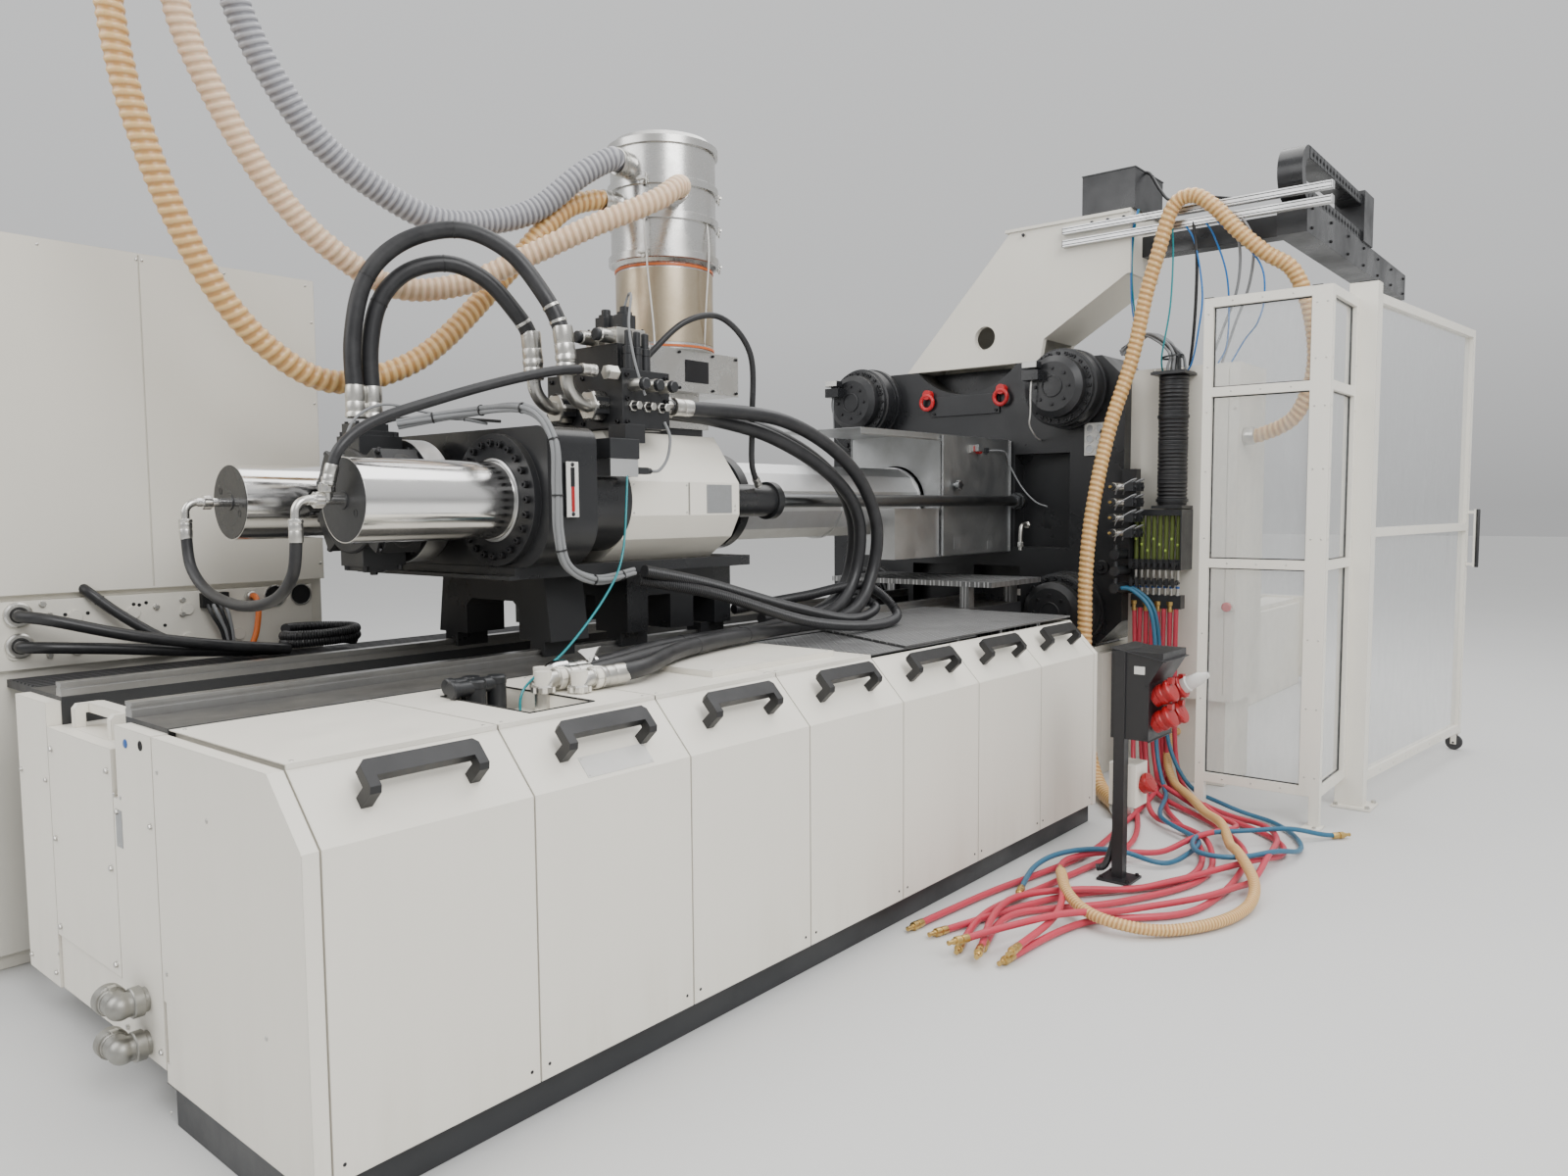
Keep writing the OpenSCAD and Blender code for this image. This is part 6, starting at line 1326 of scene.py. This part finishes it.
def socket_trim():
    """Red sockets with lids and rims, white plug, sloped hood, bare label place and lower box."""
    x, y = 3518.0, -1840.0
    red, hood, pale, grey, screws = shells(5)
    d = np.array([0, -math.sin(math.radians(60)), math.cos(math.radians(60))])
    for u in (0, 1):
        for v in (0, 1):
            spot = np.array([x + 50 + u * 130, y - 130, 715 + v * 115])
            red.turned(spot, d, [(43, 0), (43.5, 30), (47, 34), (47, 52), (43.5, 56), (43.5, 72), (51, 74),
                (52, 80), (52, 88), (46, 93), (20, 95)], 36)
            red.block(spot + d * 84 + [-16, -10, 30], spot + d * 84 + [16, 12, 56])
    red.put("red_sockets", socket_red, "machine")
    hood.prism([(y - 200, 1000), (y + 48, 1045), (y + 48, 1051), (y - 206, 1006)], x - 22, x + 266, 0)
    hood.block((x - 20, y - 134, 640), (x + 264, y - 128, 646))
    hood.put("socket_hood", box_black, "machine", 2)
    pale.block((x - 19.4, y - 110, 940), (x - 18, y - 62, 975))
    pale.put("socket_plate", plug_white, "machine", 0.4)
    sockets(screws, [(x - 18, y + v, z) for v in (-118, 30) for z in (660, 890)], BACK, 5, 3)
    hexes(screws, [(x + u * 60, y + v * 60, 10) for u in (-1, 1) for v in (-1, 1)], UP, 8, 9)
    screws.put("socket_screws", screw_dark, "machine")
    plug = Shell()
    s0 = np.array([x + 180, y - 130, 830]) + d * 88
    plug.turned(s0, d, [(34, 0), (36, 3), (36, 28), (30, 32), (28, 90), (20, 104), (12, 128)], 28)
    plug.put("white_plug", plug_white, "machine")
    grey.block((x + 22, y - 64, 326), (x + 154, y + 64, 524))
    grey.put("lower_box", cabinet_paint, "machine", 5)
    low = Shell()
    low.turned((x + 88, y - 64, 420), d, [(40, 0), (40, 28), (46, 30), (46, 44), (42, 50), (20, 52)], 32)
    low.put("lower_socket", socket_red, "machine")
    tube = Shell().tube(flowing([[x + 10, y, 660], [x + 8, y + 6, 560], [x + 6, y + 10, 400],
        [x + 2, y + 22, 200], [x - 4, y + 60, 60], [x - 10, y + 100, 34]], 8), 17, 16, None, 8, 2.5)
    tube.put("post_feed", black_spiral, "machine")


def cabinet_trim():
    """Ring glands with black cables, zinc bolts, plug, bored holes shown as black discs of painted shade, and
    edge screws on the far cabinet.
    """
    bright, dark, screws = shells(3)
    for z in (1311, 1198):
        hoop(bright, (113, 912, z), NEAR, [(26, 0), (44, 0), (46, 4), (46, 16), (40, 22), (26, 22)], 36)
        dark.turned((113, 912, z), NEAR, [(30, 0), (30, 26), (24, 36)], 28)
    for bx, bz in ((193, 1345), (213, 1303), (208, 1153), (581, 1306), (582, 1150), (680, 1328), (677, 1270)):
        hexes(bright, [(bx, 912, bz)], NEAR, 10, 10)
    # black discs: painted shade inside the bored holes
    for bx, bz in ((265, 1300), (290, 1306), (310, 1290), (340, 1300), (500, 1322), (520, 1318), (545, 1325),
            (610, 1230)):
        dark.turned((bx, 912, bz), NEAR, [(7, 0), (7, 0.8)], 14)
    dark.block((745, 880, 1290), (850, 912, 1350))
    gland(bright, (949, 912, 1325), NEAR, 17)
    # zinc rims round black discs of painted shade inside the two large holes
    for hx in (1055, 1168):
        hoop(bright, (hx, 912, 1318), NEAR, [(42, 0), (47, 0), (47, 3), (42, 3)], 40)
        dark.turned((hx, 912, 1318), NEAR, [(42, 0), (42, 1)], 40)
    bright.put("gland_plate_fittings", zinc, "machine")
    dark.put("gland_caps_plug_and_hole_shade", black_and_hole_shade, "machine")
    domes(screws, [(x, 912, 2655) for x in (-80, 240, 570, 590, 900, 1240)] + [(1262, 912, z)
        for z in (1450, 1800, 2150, 2500)], NEAR, 6, 2.6)
    screws.put("cabinet_screws", zinc, "machine")
    cable("cabinet_cable_1", [[113, 890, 1311], [113, 850, 1308], [190, 790, 1290], [420, 735, 1220],
        [700, 700, 1160], [1000, 690, 1112]], 22, cable_black, "machine", sides=16)
    cable("cabinet_cable_2", [[113, 890, 1198], [113, 850, 1196], [200, 800, 1190], [420, 775, 1165],
        [700, 745, 1130], [980, 735, 1108]], 22, cable_black, "machine", sides=16)
    cable("cabinet_cable_3", [[330, 925, 1396], [350, 890, 1370], [430, 850, 1290], [560, 800, 1190],
        [690, 770, 1140], [880, 765, 1106]], 20, cable_black, "machine", clips=2, sides=16)
    cable("orange_cable", [[949, 895, 1325], [949, 860, 1322], [945, 830, 1270], [925, 815, 1180],
        [900, 812, 1110], [930, 805, 1102]], 12, cable_orange, "machine", sides=12)
    for k in range(4):
        cable(f"plug_lead_{k + 1}", [[765 + 22 * k, 885, 1300], [768 + 22 * k, 860, 1270],
            [800 + 14 * k, 850, 1200], [820 + 10 * k, 845, 1125], [860 + 10 * k, 830, 1096]], 8, cable_grey
            if k % 2 else cable_black, "machine")
    # convoluted hose coiled on the walkway
    a = np.linspace(0, 2 * np.pi * 2.4, 110)
    coil = np.stack([1160 + 150 * np.cos(a), 735 + 105 * np.sin(a), 1118 + 17.5 * a / np.pi / 2 * 1.6], 1)
    Shell().tube(coil, 22, 16, None, 10, 3).put("walkway_coil", black_spiral, "machine")


FLOOR_RUNS = [
    (hose_pink, 14, [[5250, -1236, 1069], [5236, -1240, 650], [5180, -1290, 160], [4960, -1400, 30],
     [4500, -1620, 17], [4200, -2000, 17], [3700, -2150, 17], [3200, -1980, 17], [2800, -1700, 17],
     [2440, -1760, 17]]),
    (hose_pink, 14, [[5250, -1308, 1069], [5236, -1312, 650], [5175, -1370, 160], [4900, -1560, 30],
     [4620, -2100, 17], [4300, -2330, 17], [3800, -2200, 17], [3400, -2030, 17], [2900, -1650, 17],
     [2330, -1800, 17]]),
    (hose_pink, 14, [[5250, -1380, 1069], [5236, -1382, 650], [5190, -1420, 160], [5000, -1560, 30],
     [4700, -1850, 17], [4480, -2050, 17], [3950, -1900, 17], [3500, -1600, 17], [2900, -1850, 17],
     [2420, -1900, 17]]),
    (hose_pink, 14, [[5250, -1452, 1069], [5238, -1456, 650], [5180, -1500, 160], [4950, -1700, 30],
     [4560, -2200, 17], [4000, -2330, 17], [3500, -2300, 17], [3100, -2100, 17], [2750, -1900, 17],
     [2310, -1740, 17]]),
    (hose_steel_blue, 12, [[5120, -1170, 1190], [5120, -1240, 1178], [5118, -1350, 1060], [5110, -1390, 760],
     [5070, -1420, 260], [4850, -1560, 30], [4400, -1700, 17], [4150, -1980, 17], [3800, -1960, 17],
     [3710, -1770, 17], [3560, -1610, 17], [3300, -1540, 17], [3000, -1620, 17]]),
    (hose_steel_blue, 12, [[5180, -1170, 1190], [5180, -1240, 1178], [5178, -1350, 1060], [5172, -1400, 740],
     [5130, -1480, 250], [4950, -1750, 30], [4800, -2150, 17], [4400, -2380, 17], [3950, -2260, 17],
     [3900, -2060, 17], [4180, -1980, 17], [4450, -2200, 17], [4760, -2460, 17]]),
    (tan_spiral, 24, [[5460, -1400, 300], [5330, -1400, 292], [5100, -1480, 150], [4800, -1700, 40],
     [4400, -2000, 27], [4000, -2200, 27], [3608, -2400, 27], [3325, -2414, 27], [3087, -2331, 27],
     [2917, -2182, 27], [2877, -2019, 27], [2991, -1840, 27], [3220, -1700, 27]]),
]


def lifted(path, radius, laid):
    """A hose laid over others: at a crossing it lies on the other hose, spread into a long low hump."""
    high = np.full(len(path), max(radius, 14) + 3.0)
    for other, r in laid:
        gap = np.linalg.norm(path[:, None, :2] - other[None, :, :2], axis=2)
        near, least, reach = gap.argmin(1), gap.min(1), radius + r + 3
        over = np.where(least < reach, other[near, 2] + np.sqrt(np.maximum(reach ** 2 - least ** 2, 0)), 0)
        high = np.maximum(high, np.where((path[:, 2] < 60) & (other[near, 2] < 60), over, 0))
    wide = np.max([np.roll(np.pad(high, 20, mode="edge"), k) for k in range(-8, 9)], axis=0)
    soft = np.convolve(wide, np.hanning(19)[1:-1] / np.hanning(19).sum(), mode="same")[20:-20]
    out = path.copy()
    weave = np.convolve(np.pad(np.maximum(path[:, 2], np.minimum(soft, 90)), 4, mode="edge"), np.ones(9) / 9,
        mode="valid")
    low = path[:, 2] < 150
    out[low, 2] = np.maximum(weave, radius + 1)[low]
    return out


def floor_hoses():
    """More water and air hoses in the heap beside the machine, each lifted over those below it."""
    laid = [(evenly(flowing(run, 10, 15), 20), 14) for run in WATER_RUNS]
    for k, (finish, radius, run) in enumerate(FLOOR_RUNS):
        path = lifted(evenly(flowing(run, 10, radius + 1), 20), radius, laid)
        laid.append((path, radius))
        hose = Shell()
        if radius > 20:
            hose.tube(path, radius, 18, "screw", 16, 2.4)
        else:
            hose.tube(path, radius, 12)
        piece = hose.put(f"floor_hose_{k + 1}", finish, "machine", slot="hose_red")
        end = coupling(path[-1], path[-5]).put(f"floor_coupling_{k + 1}", brass, "machine")
        free_cord(piece, metres(path), end)


def side_hose():
    """The large tan hose that rises by the cabinet, bends over by the robot and drops behind the covers."""
    run = [[5500, -1740, 2080], [5500, -1840, 2086], [5485, -2020, 2180], [5450, -2120, 2430],
        [5395, -2110, 2720], [5330, -2030, 2960], [5270, -1900, 3065], [5220, -1768, 3195],
        [5190, -1640, 3345], [5188, -1521, 3425], [5186, -1410, 3375], [5185, -1330, 3126],
        [5185, -1266, 2910], [5175, -1190, 2540], [5100, -1085, 2115], [5000, -1035, 1650],
        [4960, -1018, 1300], [4958, -1016, 1000], [4955, -1020, 700], [4932, -1042, 420], [4865, -1105, 195],
        [4740, -1220, 70], [4580, -1360, 50], [4420, -1480, 50]]
    path = flowing(run, 10, 50)
    piece = Shell().tube(path, 44, 22, "screw", 32, 5)
    piece = piece.put("side_hose", tan_spiral, "machine", slot="hose_tan")
    collars = Shell()
    for spot, along in ((path[0], NEAR), (path[-1], path[-4] - path[-1])):
        collars.turned(spot, along, [(48, 0), (52, 4), (52, 60), (47, 64)], 32)
    collars = collars.put("side_hose_collars", zinc, "machine")
    free_cord(piece, metres(evenly(path, 50)), collars)


def air_lines():
    """Blue and teal air lines and grey cables that hang from the robot to the valves and the side cabinet."""
    runs = [
        (air_blue, 5, [[5276, -1449, 3312], [5262, -1455, 3290], [5250, -1520, 3168], [5240, -1570, 2885],
         [5250, -1547, 2666], [5290, -1500, 2500], [5330, -1440, 2440]]),
        (air_blue, 5, [[5276, -1560, 3312], [5262, -1566, 3290], [5258, -1618, 3207], [5262, -1690, 3000],
         [5300, -1700, 2800], [5400, -1660, 2600], [5440, -1600, 2504]]),
        (air_blue, 5, [[5276, -1620, 3312], [5262, -1626, 3290], [5262, -1860, 3035], [5270, -1900, 2844],
         [5300, -1860, 2700], [5400, -1760, 2620], [5430, -1680, 2504]]),
        (air_teal, 5, [[5276, -1380, 3312], [5262, -1384, 3290], [5236, -1400, 3100], [5230, -1390, 2820],
         [5250, -1340, 2560], [5290, -1330, 2470]]),
        (cable_grey, 8, [[5276, -1700, 3312], [5262, -1704, 3290], [5270, -1760, 3120], [5310, -1740, 2900],
         [5380, -1640, 2680], [5420, -1560, 2506]]),
        (cable_grey, 8, [[5276, -1760, 3312], [5262, -1764, 3290], [5280, -1830, 3140], [5330, -1800, 2920],
         [5400, -1700, 2700], [5450, -1620, 2506]]),
        (cable_black, 9, [[5276, -1500, 3312], [5262, -1504, 3290], [5252, -1530, 3100], [5280, -1520, 2850],
         [5360, -1480, 2640], [5430, -1440, 2506]]),
    ]
    for k, (finish, radius, run) in enumerate(runs):
        cable(f"air_line_{k + 1}", run, radius, finish, "machine", 8)


for part in (end_face, cover_trim, deck_trim, housing_trim, motor_trim, block_trim, cover_seams, hopper_trim,
        pipe_skin, purge_trim, platen_trim, water_trim, conduit_trim, robot_trim, guard_trim, socket_trim,
        cabinet_trim, floor_hoses, side_hose, air_lines):
    part()

# ---------------------------------------------------------------- floor and light
def studio():
    """A pale floor and three large soft lamps in a pale room."""
    floor = bpy.data.meshes.new("floor")
    floor.from_pydata([(-60, -60, -0.002), (60, -60, -0.002), (60, 60, -0.002), (-60, 60, -0.002)], [],
        [(0, 1, 2, 3)])
    floor = bpy.data.objects.new("floor", floor)
    m = Recipe("floor_pale", 0.7)
    floor.data.materials.append(m.done(m.blend(m.noise(0.8, 3), (0.60, 0.60, 0.59), (0.63, 0.63, 0.62))))
    bpy.context.scene.collection.objects.link(floor)
    world = bpy.data.worlds.new("room")
    bpy.context.scene.world = world
    world.use_nodes = True
    tree = world.node_tree
    look = tree.nodes.new("ShaderNodeTexCoord").outputs["Generated"]
    height = tree.nodes.new("ShaderNodeSeparateXYZ")
    tree.links.new(look, height.inputs[0])
    ramp = tree.nodes.new("ShaderNodeValToRGB")
    tree.links.new(height.outputs[2], ramp.inputs[0])
    for e, (place, grey) in zip(ramp.color_ramp.elements, ((0.0, 0.50), (0.75, 1.0))):
        e.position, e.color = place, (grey, grey * 1.005, grey * 1.01, 1)
    mid = ramp.color_ramp.elements.new(0.16)
    mid.color = (0.74, 0.745, 0.75, 1)
    tree.links.new(ramp.outputs[0], tree.nodes["Background"].inputs[0])
    tree.nodes["Background"].inputs[1].default_value = 0.95
    for name, spot, aim, size, power in (
            ("key", (-5, -8, 8), UP, 6, 900), ("fill", (-9, 3, 6), (-1, 0, 1.5), 6, 350),
            ("top", (2, 0, 9), AHEAD, 9, 700)):
        lamp = bpy.data.lights.new(name, "AREA")
        lamp.size, lamp.energy = size, power
        holder = bpy.data.objects.new(name, lamp)
        back = np.array(spot, float) - aim
        side, up = across(back)
        back /= np.linalg.norm(back)
        turn = Matrix(np.column_stack([side, np.cross(back, side), back]).tolist()).to_4x4()
        holder.matrix_world = Matrix.Translation(spot) @ turn
        bpy.context.scene.collection.objects.link(holder)


studio()
